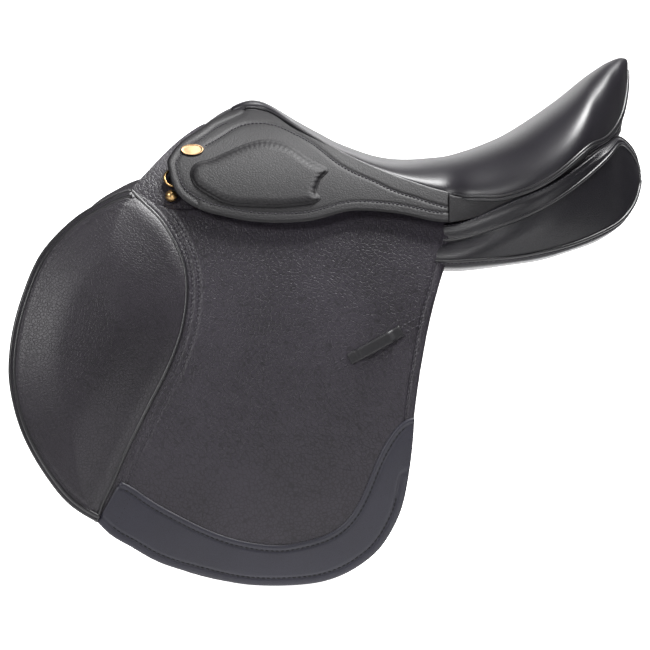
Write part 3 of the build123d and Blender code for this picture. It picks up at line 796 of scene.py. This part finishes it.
@dataclass
class Flap(Draped):
    """Flap of one side: grained facing, knee pad, piping, hem trim and the girth keeper."""

    pitch: float = 4.4
    facing_u: tuple[float, float] = (3.05, 4.95)
    pad_top_u: float = 11.4
    pad_crown: float = 6.5
    edge_roll: float = 9.0
    groove_depth: float = 1.1
    seam_rows: tuple[float, float] = (5.0, 11.0)
    rear_row: float = 7.5
    trim_u: tuple[float, float] = (5.0, 6.7)
    keeper_at: tuple[float, float] = (-40.0, -59.5)
    keeper_turn: float = math.radians(28.0)
    keeper_half: tuple[float, float] = (26.0, 4.9)

    @property
    def body(self) -> str:
        """The frame body the flap rides."""
        return f"{self.side.label}_flap"

    def facing(self) -> None:
        """Grained leather from the knee seam to the flap's rear edge.

        The grid is a Coons patch of the knee seam, hem, rear edge and top; the layer sinks by a
        Gaussian of the distance to each stitch line and rolls down over its last millimetres.
        """
        top = [(-256.8, 73), (-225, 57.5), (-190, 57), (-150, 57), (-60, 57), (6, 57), (20, 51),
               (31, 44)]
        grid = patch_xz(FLAP_HEM, top, KNEE_SEAM[::-1], FLAP_REAR, (130, 130))
        x, z = grid[..., 0], grid[..., 1]
        rear, seam, hem = Seam(FLAP_REAR).curve, Seam(KNEE_SEAM).curve, Seam(FLAP_HEM).curve
        d_rear, d_seam = distance(x, z, rear), distance(x, z, seam)
        edge = np.minimum(d_rear, distance(x, z, hem))
        rows = sum(groove(d_seam, at, 1.1) for at in self.seam_rows)
        rows = rows + groove(d_rear, self.rear_row, 1.2)
        sink = self.groove_depth * rows + 0.9 * (1 - ease(edge / 2.4))
        puff = 0.22 * ripple(x, z, 90.0, 3) * ease((edge - 6) / 30) * ease((d_seam - 12) / 30)
        low, high = self.facing_u
        self.layer("flap_leather", Finish.FLAP, x, z, high - sink + puff, low, "flap_facing")
        for amount in self.seam_rows:
            row = inset(seam, amount)[4:-4]
            self.sew(f"knee_stitch_{int(amount)}", row[row[:, 1] < 50], high - 0.45)
        row = inset(rear, self.rear_row)
        self.sew("rear_edge_stitch", row[(row[:, 1] > -120) & (row[:, 1] < 46)], high - 0.45)

    def knee(self) -> None:
        """Crowned knee block: a surface ruled from the seam to the front edge.

        Its height rises as the square root of a rounded profile of the distance to the border, with
        shallow puckers that fade inwards from the outer piping.
        """
        front, seam = Seam(FLAP_FRONT).curve, Seam(KNEE_SEAM).curve
        s, t = (0.5 - 0.5 * np.cos(np.linspace(0, math.pi, count)) for count in (120, 64))
        share = np.linspace(0, 1, len(front))
        a, b = (np.stack([np.interp(s, share, c) for c in run.T], axis=1) for run in (seam, front))
        grid = a[:, None] + (b - a)[:, None] * t[None, :, None]
        x, z = grid[..., 0], grid[..., 1]
        d_front, d_seam = distance(x, z, front), distance(x, z, seam)
        inner = 0.35 + 0.65 * bulge(d_seam, 13.0)
        crown = self.pad_crown * ease(np.minimum(d_front, 0.8 * d_seam) / 48.0)
        along = np.cumsum(np.r_[0, np.linalg.norm(np.diff(front, axis=0), axis=1)])
        where = np.interp(s, share, along)[:, None]
        pucker = 0.22 * np.sin(2 * math.pi * where / 9.0 + 1.2 * np.sin(where / 31.0))
        pucker = pucker * groove(d_front, 11.0, 3.5)
        channel = 0.8 * groove(d_front, self.edge_roll, 1.4)
        base, rise = self.facing_u[0], self.pad_top_u - self.facing_u[0] - 2.6
        body = rise * np.minimum(bulge(d_front, self.edge_roll), inner) + crown
        body += 0.18 * ripple(x, z, 70.0, 8) - channel + pucker
        self.layer("knee_block", Finish.KNEE, x, z, base + np.maximum(body, 0.05), base, "knee_pad",
                   fill=0.8)
        self.sew("knee_edge_stitch", inset(front, self.edge_roll)[3:-3], base + rise - 0.7)

    def piping(self) -> None:
        """Two rounds of piping on the knee block's outer edge and one in its seam."""
        front, seam = Seam(FLAP_FRONT).curve, Seam(KNEE_SEAM).curve
        label = self.side.label
        for name, curve, amount, u, radius in (("outer", front, 1.6, 5.4, 1.9),
                                               ("inner", front, 5.2, 7.6, 1.9),
                                               ("seam", seam, -0.4, 5.6, 1.7)):
            row = inset(curve, amount)
            path = DRAPE.place(row[:, 0], row[:, 1], u, self.side)
            obj = tube(f"{label}_piping_{name}", path, radius)
            replaced = [f"{label}_knee_piping"] if name == "outer" else []
            dress(obj, Finish.PIPING, self.body, *replaced)

    def trim(self) -> None:
        """Smooth strip along the hem, with two rows of stitching and two across its front end."""
        left = [(-281.2, -209.8), (-273, -195.5), (-264, -180), (-260.8, -175.7)]
        right = [(-12, -174), (-8.5, -149), (-6.2, -121)]
        grid = patch_xz(FLAP_HEM, TRIM_TOP, left, right, (150, 34))
        x, z = grid[..., 0], grid[..., 1]
        hem, top, end = Seam(FLAP_HEM).curve, Seam(TRIM_TOP).curve, Seam(left).curve
        d_hem, d_top = distance(x, z, hem), distance(x, z, top)
        sink = 0.8 * (1 - ease(np.minimum(d_hem, d_top) / 1.8))
        sink += 0.9 * groove(d_top, 5.0, 1.1) + 0.9 * groove(d_hem, 7.0, 1.1)
        low, high = self.trim_u
        self.layer("hem_trim", Finish.TRIM, x, z, high - sink + 0.12 * ripple(x, z, 60.0, 5), low,
                   "trim_strip")
        for name, row in (("top_stitch", inset(top, -5.0)[3:-6]),
                          ("hem_stitch", inset(hem, 7.0)[6:-8]),
                          ("end_stitch_5", inset(end, -5.0)[22:-22]),
                          ("end_stitch_15", inset(end, -15.0)[22:-22])):
            self.sew(f"trim_{name}", row, high - 0.55, Finish.DARK_THREAD)

    def keeper(self) -> None:
        """Girth keeper: a slanting loop whose middle stands off the flap, with its sewn ends."""
        centre = np.array(self.keeper_at)
        cos, sin = math.cos(self.keeper_turn), math.sin(self.keeper_turn)
        along, across = np.array([cos, sin]), np.array([-sin, cos])
        length, width = self.keeper_half
        s, t = np.linspace(-length, length, 60)[:, None], np.linspace(-width, width, 13)[None, :]
        x, z = (centre[k] + s * along[k] + t * across[k] for k in (0, 1))
        arch = 2.3 * ease((19.5 - np.abs(s)) / 5.5)
        edge = np.minimum(width - np.abs(t), length - np.abs(s))
        self.layer("girth_keeper", Finish.SMOOTH, x, z, 6.65 + arch - 0.7 * (1 - ease(edge / 1.2)),
                   5.0 + arch, "keeper")
        for name, start, end in (("front", -40.5, -28.0), ("rear", 28.0, 47.0)):
            for k, t0 in enumerate((-3.0, 3.0)):
                line = centre + np.linspace(start, end, 12)[:, None] * along + t0 * across
                self.sew(f"keeper_{name}_stitch_{k}", line, 5.0)

    def build(self) -> None:
        """Build every leather of the flap."""
        for part in (self.facing, self.knee, self.piping, self.trim, self.keeper):
            part()


@dataclass
class Skirt(Draped):
    """Skirt of one side: a small outer flap with a quilted pad and a bare oval badge."""

    layer_u: tuple[float, float] = (13.0, 16.0)
    pad_u: tuple[float, float] = (16.05, 18.5)
    binding: float = 6.0
    edge_row: float = 8.0
    pad_middle: tuple[float, float] = (-140.0, 87.0)
    badge_at: tuple[float, float] = (-203.0, 107.6)
    badge_half: tuple[float, float] = (10.25, 4.65)
    badge_u: float = 16.1

    @property
    def body(self) -> str:
        """The frame body the skirt rides."""
        return f"{self.side.label}_skirt"

    def leather(self) -> None:
        """Skirt leather with a bound front edge and sunk stitch lines.

        The grid is a Coons patch; the layer sinks at the binding's inner edge and under each row of
        stitches.
        """
        front = even(spline(SKIRT_FRONT[::-1], 120), 400)
        hem, seam = Seam(SKIRT_HEM, 200).curve, Seam(WELT_SEAM, 200).curve
        row = Seam(SKIRT_STITCH).curve
        rear = even(spline([(25, 45.5), (25.4, 58), (25.6, 70.6)], 60), 60)
        grid = coons(even(hem, 120), even(seam, 120), even(front, 60), rear)
        x, z = grid[..., 0], grid[..., 1]
        d_front = distance(x, z, even(front, 120))
        d_edge = np.minimum(d_front, distance(x, z, even(hem, 120)))
        sink = 0.9 * (1 - ease(d_edge / 2.2)) + 0.7 * groove(d_front, self.binding, 0.9)
        sink += 0.45 * groove(d_edge, self.edge_row, 1.0)
        sink += 0.7 * groove(distance(x, z, row), 0.0, 1.3)
        low, high = self.layer_u
        high_u = high - sink + 0.12 * ripple(x, z, 60.0, 6)
        self.layer("skirt_leather", Finish.SKIRT, x, z, high_u, low, "skirt")
        around = np.concatenate([even(front, 160)[::-1], even(hem, 200)[1:]])
        self.sew("skirt_edge_stitch", inset(around, self.edge_row)[16:-4], high - 0.25)
        self.sew("skirt_top_stitch", row, high - 0.3)

    def pad(self) -> None:
        """Quilted pad: rings grow from its middle to the outline.

        Its height rises as a quarter ellipse of the distance to the outline, above a low rim at its
        edge, with pleats that fan in from the rim.
        """
        loop = closed_curve(PAD_OUTLINE, 220)
        grid = disc(loop, np.array(self.pad_middle))
        x, z = grid[..., 0], grid[..., 1]
        d = distance(x, z, np.r_[loop, loop[:1]])
        along = np.r_[0, np.cumsum(np.linalg.norm(np.diff(loop, axis=0), axis=1))][None, :]
        outwards = np.linspace(0, 1, len(grid))[:, None]
        pleat = 0.24 * np.sin(2 * math.pi * along / 5.2) * groove(d, 3.2, 2.6)
        pleat = pleat * ease((outwards - 0.4) / 0.3)
        base, rise = self.pad_u[0], self.pad_u[1] - self.pad_u[0]
        body = 0.7 * ease(d / 1.6) + (rise + 0.7) * bulge(d - 2.0, 7.0)
        self.layer("skirt_quilt", Finish.SKIRT, x, z, base + np.maximum(body + pleat, 0.02), base,
                   "skirt_pad", fill=0.6, wrap=True)

    def badge(self) -> None:
        """Bare oval plate: rings of an ellipse, domed, with a raised rim."""
        t = np.linspace(0, 2 * math.pi, 72, endpoint=False)[None, :]
        r = np.array([0.0, 0.3, 0.6, 0.78, 0.84, 0.88, 0.93, 0.98, 1.0])[:, None]
        rise = np.array([1.15, 1.12, 1.02, 0.9, 0.95, 1.3, 1.35, 1.05, 0.5])[:, None]
        x = self.badge_at[0] + r * self.badge_half[0] * np.cos(t)
        z = self.badge_at[1] + r * self.badge_half[1] * np.sin(t)
        self.layer("oval_badge", Finish.BADGE, x, z, self.badge_u + 0.05 + rise, self.badge_u,
                   "badge", wrap=True)

    def build(self) -> None:
        """Build the skirt's leathers and badge."""
        for part in (self.leather, self.pad, self.badge):
            part()


@dataclass
class Seat:
    """Seat cover, its welts, the pommel cap, the cantle's facing and the tail bands."""

    stations: list[tuple[float, float, float, float]] = field(default_factory=lambda: [
        (-170, 15, 139.6, 142.8), (-162, 17, 142.8, 146.4), (-153, 17.5, 143.8, 148.6),
        (-144, 18, 143.2, 147.6), (-131.6, 27, 139.0, 142.0), (-113, 50, 128.6, 129.5),
        (-94, 65, 118.4, 117.6), (-76, 77, 108.4, 107.8), (-57, 87, 99.2, 101.0),
        (-39.5, 94.5, 91.6, 95.8), (-22, 101, 84.8, 93.2), (-3.4, 106, 78.4, 93.2),
        (12, 109, 73.6, 94.6), (26, 112, 70.3, 96.2), (39.5, 122, 68.7, 99.6), (55, 129, 68.7, 105),
        (67, 133, 68.9, 110), (80, 136, 71.7, 116), (98, 138, 78, 126.6), (122, 134, 91.8, 143),
        (138.7, 124, 105, 155.8), (152.5, 108, 114.4, 167.6), (158.8, 98, 116.2, 172.8),
        (166, 86, 118.5, 178), (174, 70, 124, 183), (180, 56, 130, 185.6), (186, 41, 139, 187.5),
        (191, 24, 152, 187.6), (194.4, 9, 168, 185.8), (195.4, 0.4, 177, 182.5),
    ])
    roll: float = 3.0
    leather: float = 2.0
    welt_r: float = 1.5
    cap_half: float = 19.0
    cap_r: float = 46.0
    rows: int = 230
    columns: int = 91

    @property
    def lines(self) -> Points:
        """Stations splined along the seat: x, half width, seam and crown heights."""
        return even(spline(self.stations, 900), self.rows)

    def surface(self, drop: float = 0.0) -> Points:
        """Grid over the seat.

        Across, height is the seam's plus the crown's rise times (1 - |t|^2.4)^0.6, plus a rolled
        side of (1 - |t|^5)^0.5 times (0.3 + 0.7 t^2); t runs -1 to 1, crowded at the seams.

        Args:
            drop: distance of the layer below the cover's face.

        Returns:
            Grid of rows by columns points.
        """
        x, half, seam, crown = (c[:, None] for c in self.lines.T)
        t = np.sin(np.linspace(-math.pi / 2, math.pi / 2, self.columns))[None, :]
        a = np.abs(t)
        body = np.maximum(1 - a**2.4, 0) ** 0.6
        side = np.maximum(1 - a**5, 0) ** 0.5 * (0.3 + 0.7 * t**2)
        rear = ease((x - 20) / 70) * ease((192 - x) / 30)
        z = seam + (crown - seam) * body + self.roll * (1 + 0.6 * rear) * side - drop
        z = z - 2.0 * rear * (1 - t**2) ** 2
        z = z + 0.25 * ripple(x + 0 * t, half * t, 110.0, 11) * (1 - a**4)
        y = (half - 0.7 * drop) * t
        return np.stack(np.broadcast_arrays(x, y, z), axis=-1)

    def cover(self) -> None:
        """Padded leather cover from seam to seam, and the foam under it."""
        obj = shell("seat_leather_cover", self.surface(), self.surface(self.leather))
        dress(obj, Finish.SEAT, "root", "seat_cover", fill=0.85)
        top = self.surface(self.leather + 1.0)
        x, _, seam, _ = (c[:, None] for c in self.lines.T)
        under = np.stack(np.broadcast_arrays(x, 0.93 * top[..., 1], seam + 1.0), axis=-1)
        under[..., 2] = np.minimum(under[..., 2], top[..., 2] - 1.0)
        foam = shell("seat_foam_pad", top[4:-16], under[4:-16])
        dress(foam, Finish.FOAM, "root", "seat_foam", fill=0.9)

    def welts(self) -> None:
        """Two fine rounds of piping, one under the other, along the seams and behind the cantle."""
        x, half, seam, _ = self.lines[6:].T
        for k, (out, down) in enumerate(((0.5, 0.6), (1.6, 3.2))):
            left = np.stack([x, -(half + out), seam - down], axis=1)
            right = left[::-1] * np.array([1, -1, 1])
            path = even(np.concatenate([left, right]), 520)
            dress(tube(f"seat_welt_{k}", path, self.welt_r), Finish.PIPING, "root")

    def cap(self) -> None:
        """Pommel cap: a strip that follows the crest line and falls to each side as a circle."""
        crest = even(spline([(-199.5, 124.6), (-190, 131.4), (-181, 137.6), (-172, 142.2),
                             (-162.5, 146.0), (-153, 148.2), (-146, 147.4)], 200), 60)
        y = np.linspace(-self.cap_half, self.cap_half, 31)[None, :]
        fall = self.cap_r - np.sqrt(self.cap_r**2 - y**2)
        x, z = crest[:, 0][:, None], crest[:, 1][:, None]
        roll = 0.9 * (1 - ease((self.cap_half - np.abs(y)) / 2.0))
        top = np.stack(np.broadcast_arrays(x, y, z - fall - roll + 0.2), axis=-1)
        under = np.stack(np.broadcast_arrays(x + 0.6, y, z - fall - 2.4), axis=-1)
        dress(shell("pommel_cap_leather", top, under), Finish.SEAT, "root", "pommel_cap")
        narrow = top[3:-3] * np.array([1.0, 0.62, 1.0])
        high, low = narrow - [0, 0, 3.4], narrow - [0, 0, 11.0]
        dress(shell("pommel_foam", high, low), Finish.FOAM, "root", "pommel_block", fill=0.7)

    def facing(self) -> None:
        """Cantle's back, ruled from the seat's rear seam to the panels' top, with two seams."""
        upper = [(150, 110, 112.6), (158.8, 98, 114.8), (166, 86, 117), (174, 70, 122.5),
                 (180, 56, 128.5), (186, 41, 137.5), (190.6, 24, 150.5), (193.6, 9, 166),
                 (194.4, 0, 171)]
        lower = [(150, 109, 103), (158.8, 98, 109), (166, 86, 112.5), (172, 71, 114.6),
                 (177, 56, 111), (179, 40, 107), (180, 20, 104.5), (180, 8, 104), (180, 0, 104)]
        a, b = (self._mirrored(run, 120) for run in (upper, lower))
        t = np.linspace(0, 1, 26)[None, :, None]
        middle = np.sin(math.pi * t)
        grid = a[:, None] * (1 - t) + b[:, None] * t
        out = np.stack([np.full(len(a), 1.0), a[:, 1] / 60, np.zeros(len(a))], axis=1)
        out /= np.linalg.norm(out, axis=1, keepdims=True)
        seams = 0.8 * (groove(t, 0.3, 0.03) + groove(t, 0.42, 0.03))
        top = grid + out[:, None] * (2.4 * middle - seams)
        back = shell("cantle_leather", top, grid - 3.5 * out[:, None])
        dress(back, Finish.SEAT, "root", "cantle_facing")
        for k in (4, 14):
            row = stitches(f"cantle_stitch_{k}", top[6:-6, k], out[6:-6], 3.6)
            dress(row, Finish.THREAD, "root")

    def _mirrored(self, run: list[tuple[float, float, float]], count: int) -> Points:
        """Left-hand curve of (x, half, z) and its mirror as one run."""
        half = spline(run, count)
        left = half * np.array([1, -1, 1])
        return np.concatenate([left, half[::-1][1:]])

    def band(self, side: Side) -> None:
        """Tail band of one side: ruled from the seat's seam to the panel, thick inwards."""
        upper = spline([
            (25.3, 69.6, 117.4), (32, 67.8, 120.4), (41, 67.0, 124.6), (55, 67.2, 130.2),
            (67, 67.4, 133.6), (80, 70.2, 136.6), (98, 76.6, 138.6), (122, 90.4, 134.6),
            (138.7, 103.6, 124.6), (152.5, 112.8, 108.8), (158.8, 114.2, 98.6)], 110)
        lower = spline([
            (25.3, 45.2, 129.4), (32, 46.4, 129.6), (41, 48.2, 130.4), (58.6, 53.7, 132),
            (84.5, 64, 135), (100, 70.8, 136), (122, 84.6, 132), (145.6, 99.7, 116),
            (158.8, 110.8, 98)], 110)
        t = np.linspace(0, 1, 14)[None, :]
        grid = upper[:, None] * (1 - t[..., None]) + lower[:, None] * t[..., None]
        x, z, half = grid[..., 0], grid[..., 1], grid[..., 2]
        top = np.stack([x, side.value * (half + 0.7 * np.sin(math.pi * t)), z], axis=-1)
        under = np.stack([x, side.value * (half - 2.4), z], axis=-1)
        dress(shell(f"{side.label}_tail_leather", top, under), Finish.SKIRT, "root",
              f"{side.label}_tail_band")

    def build(self) -> None:
        """Build the seat's leathers."""
        for part in (self.cover, self.welts, self.cap, self.facing):
            part()
        for side in Side:
            self.band(side)


@dataclass
class Panel(Draped):
    """Flocked panel of one side: a front band under the flap and a rolled rear pad."""

    pitch: float = 3.8
    rows: int = 120
    columns: int = 96
    band_x: tuple[float, float] = (-165.0, -12.0)
    band_z: tuple[float, float] = (-80.0, 62.0)
    band_u: float = -32.5
    stations: list[tuple[float, ...]] = field(default_factory=lambda: [
        # x, ridge y, ridge z, welt y, welt z, seam y, seam z, low z, inner y
        (-6, 100, 40, 108, 28, 118, 14, 2, 40), (12, 108, 43, 118, 29, 131, 12, 0, 38),
        (31, 118, 46, 128, 30, 140, 12, -1, 38), (55, 127, 55, 136, 37.4, 144, 13.8, 1.5, 38),
        (85, 133, 69, 142, 49.3, 143, 16.5, 6, 38), (100, 134, 75, 142, 56, 142, 19, 8, 38),
        (131, 126, 90.6, 133, 74, 134, 25.8, 16, 38), (155.6, 104, 106, 116, 92, 122, 34, 24, 37),
        (172, 76, 114.5, 96, 106, 110, 41, 33, 34), (183, 52, 117, 74, 112, 98, 48, 42, 30),
        (194, 44, 108, 62, 102, 84, 61, 56, 28), (200, 40, 96, 54, 91, 68, 76, 70, 30),
        (201.8, 44, 86, 50, 84, 54, 79, 76, 42),
    ])

    def loops(self) -> Points:
        """Closed sections along the rear pad.

        Each is a Catmull-Rom loop through points on its ridge, welt, seam, underside and gullet.

        Returns:
            Grid of rows by columns points.
        """
        x, ry, rz, wy, wz, sy, sz, low, iy = spline(self.stations, self.rows).T
        keys = [(iy + 4, rz - 3), (0.5 * (iy + ry), rz + 1.0), (ry, rz),
                (0.5 * (ry + wy) + 2.5, 0.5 * (rz + wz) + 1.5), (wy, wz),
                (0.5 * (wy + sy) + 3.2, 0.5 * (wz + sz)), (sy, sz),
                (sy - 6, 0.5 * (sz + low) - 1.0), (0.5 * (iy + sy) + 8, low), (iy + 9, low + 3),
                (iy, low + 14), (iy, 0.5 * (low + rz))]
        loop = np.stack([np.stack(key, axis=-1) for key in keys])
        flat = np.concatenate([loop[-4:], loop, loop[:5]]).reshape(len(keys) + 9, -1)
        t = np.linspace(0, len(keys), self.columns, endpoint=False)
        i = np.floor(t).astype(int) + 4
        w = (t - np.floor(t))[:, None]
        p0, p1, p2, p3 = (flat[i + k] for k in (-1, 0, 1, 2))
        square, cube = 2 * p0 - 5 * p1 + 4 * p2 - p3, 3 * p1 - p0 - 3 * p2 + p3
        cubic = 0.5 * (2 * p1 + (p2 - p0) * w + square * w**2 + cube * w**3)
        yz = cubic.reshape(self.columns, self.rows, 2).transpose(1, 0, 2)
        x = np.broadcast_to(x[:, None], yz.shape[:2])
        return np.stack([x, self.side.value * yz[..., 0], yz[..., 1]], axis=-1)

    def column(self, key: float) -> int:
        """Grid column of one of the section's twelve keys."""
        return int(round(key * self.columns / 12))

    def rear(self) -> None:
        """Rolled rear pad: its end sections shrink to their middles, and three rounds of piping."""
        grid = self.loops()
        creases = 0.5 * ripple(grid[..., 0], grid[..., 2], 55.0, 21)
        middle = grid.mean(axis=1, keepdims=True)
        away = grid - middle
        away /= np.maximum(np.linalg.norm(away, axis=-1, keepdims=True), 1e-6)
        grid = grid + away * creases[..., None] * np.array([0, 1, 1])
        first = [middle[:1] + (grid[:1] - middle[:1]) * share - np.array([out, 0, 0])
                 for share, out in ((0.02, 3), (0.5, 2.6), (0.85, 1.4))]
        last = [middle[-1:] + (grid[-1:] - middle[-1:]) * share + np.array([out, 0, 0])
                for share, out in ((0.8, 0.8), (0.4, 1.3), (0.02, 1.5))]
        whole = np.concatenate([*first, grid, *last])
        rows, columns = whole.shape[:2]
        faces = quads(rows, columns, True).tolist()
        faces += [list(range(columns)), list(range((rows - 1) * columns, rows * columns))]
        obj = make_object(f"{self.side.label}_panel_roll", whole.reshape(-1, 3), faces)
        dress(obj, Finish.PANEL, "root", f"{self.side.label}_panel", fill=0.8)
        for name, key in (("ridge", 2), ("welt", 4), ("gusset", 6)):
            path = self.loops()[8:-2, self.column(key)] + np.array([0, self.side.value * 0.4, 0])
            obj = tube(f"{self.side.label}_panel_{name}", even(path, 160), 1.5)
            dress(obj, Finish.PIPING, self.body)

    def sewing(self) -> None:
        """Rows of stitching above the pad's welt and along its gusset."""
        for name, key in (("upper", 2.45), ("lower", 6.3)):
            path = self.loops()[10:-6, self.column(key)]
            normals = np.tile([0.0, self.side.value, 0.4], (len(path), 1))
            obj = stitches(f"{self.side.label}_panel_stitch_{name}", path + 0.2 * normals, normals,
                           self.pitch)
            dress(obj, Finish.THREAD, self.body)

    def front(self) -> None:
        """Front band: a pillow between two layers under the drape, thinned to its edges."""
        (x0, x1), (z0, z1) = self.band_x, self.band_z
        x, z = np.meshgrid(np.linspace(x0, x1, 90), np.linspace(z0, z1, 70), indexing="ij")
        edge = np.minimum(np.minimum(x - x0, x1 - x), np.minimum(z - z0, z1 - z))
        rise = bulge(edge, 14.0)
        shift = 0.5 * ripple(x, z, 60.0, 31) * rise
        self.layer("panel_band", Finish.PANEL, x, z, self.band_u + 1 + 12.5 * rise,
                   self.band_u - 1 - 14.5 * rise + shift, fill=0.6)

    def build(self) -> None:
        """Build both parts of the panel and its sewing."""
        self.rear()
        self.sewing()
        self.front()


@dataclass
class Sweat(Draped):
    """Sweat flap of one side, between the girth straps and the horse."""

    layer_u: tuple[float, float] = (-14.0, -11.6)
    outline: list[tuple[float, float]] = field(default_factory=lambda: [
        (-40, 34), (-95, 34), (-150, 34), (-186, 12), (-215, -20), (-227, -64), (-228, -110),
        (-221, -150), (-205, -190), (-180, -213), (-150, -226), (-115, -230), (-80, -230),
        (-55, -214), (-34, -190), (-23, -148), (-16, -100), (-12, -50), (-10, 0), (-20, 24),
    ])

    def build(self) -> None:
        """Rings grow from its middle to the outline; the edge rolls down and a line is creased."""
        loop = closed_curve(self.outline, 200)
        grid = disc(loop, loop.mean(axis=0))
        x, z = grid[..., 0], grid[..., 1]
        d = distance(x, z, np.r_[loop, loop[:1]])
        sink = 0.9 * (1 - ease(d / 2.0)) + 0.5 * groove(d, 5.0, 0.9)
        low, high = self.layer_u
        self.layer("sweat_leather", Finish.SMOOTH, x, z, high - sink, low, "sweat_flap", wrap=True)


@dataclass
class Fittings:
    """Materials of the CAD pieces that stay as they are."""

    finishes: dict[str, Finish] = field(default_factory=lambda: {
        "tree_frame": Finish.WOOD, "head_plate": Finish.STEEL, "gullet_plate": Finish.STEEL,
        "head_rivets": Finish.STEEL, "seat_webbing": Finish.CANVAS, "seat_foam": Finish.FOAM,
        "pommel_block": Finish.FOAM, "gullet_lining": Finish.CANVAS, "spring": Finish.STEEL,
        "girth_webs": Finish.CANVAS, "front_girth_strap": Finish.STRAP,
        "middle_girth_strap": Finish.STRAP, "rear_girth_strap": Finish.STRAP,
        "stirrup_bar": Finish.BAR, "bar_rivets": Finish.BAR, "latch_pin": Finish.BAR,
        "bar_latch": Finish.BAR, "flap_base": Finish.FLAP, "dee_ring": Finish.BRASS,
        "dee_chape": Finish.SMOOTH, "saddle_nail": Finish.BRASS,
    })

    def build(self) -> None:
        """Give each remaining CAD node its material, by its name without the side."""
        for name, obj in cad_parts.items():
            plain = name.replace("left_", "").replace("right_", "")
            finish = self.finishes.get(plain, Finish.SMOOTH)
            obj.data.materials.clear()
            obj.data.materials.append(finish.material)
            slots = np.zeros(len(obj.data.polygons), dtype=int)
            obj.data.polygons.foreach_set("material_index", slots)
            LOG.info("%s keeps its CAD shape in %s", name, finish.value.name)


@dataclass
class Studio:
    """Camera, pale floor, white surroundings and soft lights."""

    target: tuple[float, float, float] = (-0.084, 0.0, -0.059)
    distance: float = 2.524
    elevation: float = math.radians(6.0)
    lens: float = 150.0

    def camera(self) -> None:
        """Long lens square to the rider's left side, a little above it."""
        data = bpy.data.cameras.new("camera")
        data.lens, data.sensor_width = self.lens, 36.0
        obj = bpy.data.objects.new("camera", data)
        obj.location = (self.target[0], self.target[1] - self.distance * math.cos(self.elevation),
                        self.target[2] + self.distance * math.sin(self.elevation))
        obj.rotation_euler = (math.pi / 2 - self.elevation, 0, 0)
        bpy.context.scene.collection.objects.link(obj)
        bpy.context.scene.camera = obj

    def floor(self) -> None:
        """Pale plane under the flaps' hems and a curved-up white sheet behind, lit from within."""
        wide = [(-6, -6, -0.323), (6, -6, -0.323), (6, 6, -0.323), (-6, 6, -0.323)]
        near = [(-0.9, -0.3, -0.32), (0.9, -0.3, -0.32), (1.4, 3.2, -0.32), (-1.4, 3.2, -0.32),
                (1.4, 3.2, 1.3), (-1.4, 3.2, 1.3)]
        for name, corners, faces, glow in (
                ("floor", wide, [(0, 1, 2, 3)], 0.0),
                ("backdrop", near, [(0, 1, 2, 3), (3, 2, 4, 5)], 1.05)):
            mesh = bpy.data.meshes.new(name)
            mesh.from_pydata(corners, [], faces)
            plane = bpy.data.objects.new(name, mesh)
            bpy.context.scene.collection.objects.link(plane)
            n = Nodes(f"pale_{name}")
            shade = n.add("ShaderNodeBsdfPrincipled", {}, {
                "Base Color": (0.8, 0.8, 0.8, 1), "Roughness": 1.0,
                "Emission Color": (1, 1, 1, 1), "Emission Strength": glow})[0]
            n.add("ShaderNodeOutputMaterial", {}, {"Surface": shade})
            mesh.materials.append(n.material)

    def light(self, name: str, where: tuple, size: float, power: float) -> None:
        """Square area light aimed at the saddle.

        Args:
            name: its name.
            where: its place in metres.
            size: its side in metres.
            power: its power in watts.
        """
        data = bpy.data.lights.new(name, "AREA")
        data.shape, data.size, data.energy = "SQUARE", size, power
        obj = bpy.data.objects.new(name, data)
        obj.location = where
        aim = np.array(self.target) - np.array(where)
        obj.rotation_euler = (math.acos(-aim[2] / np.linalg.norm(aim)), 0,
                              math.atan2(aim[1], aim[0]) - math.pi / 2)
        bpy.context.scene.collection.objects.link(obj)

    def build(self) -> None:
        """Set the whole stage."""
        self.camera()
        self.floor()
        self.light("key", (-1.5, -1.5, 1.2), 0.7, 30.0)
        self.light("top", (0.45, 0.1, 1.9), 0.9, 100.0)
        self.light("low", (0.6, -2.2, -0.1), 1.0, 16.0)
        world = bpy.data.worlds.new("white")
        world.use_nodes = True
        sky = world.node_tree.nodes["Background"]
        sky.inputs["Color"].default_value = (1, 1, 1, 1)
        sky.inputs["Strength"].default_value = 0.10
        bpy.context.scene.view_settings.view_transform = "Standard"
        bpy.context.scene.world = world


def main() -> None:
    """Build every sub-assembly, then the stage."""
    logging.basicConfig(level=logging.INFO, format="%(message)s")
    Fittings().build()
    Seat().build()
    for side in Side:
        for part in (Flap(side), Skirt(side), Panel(side), Sweat(side)):
            part.build()
    Studio().build()


if __name__ == "__main__":
    main()
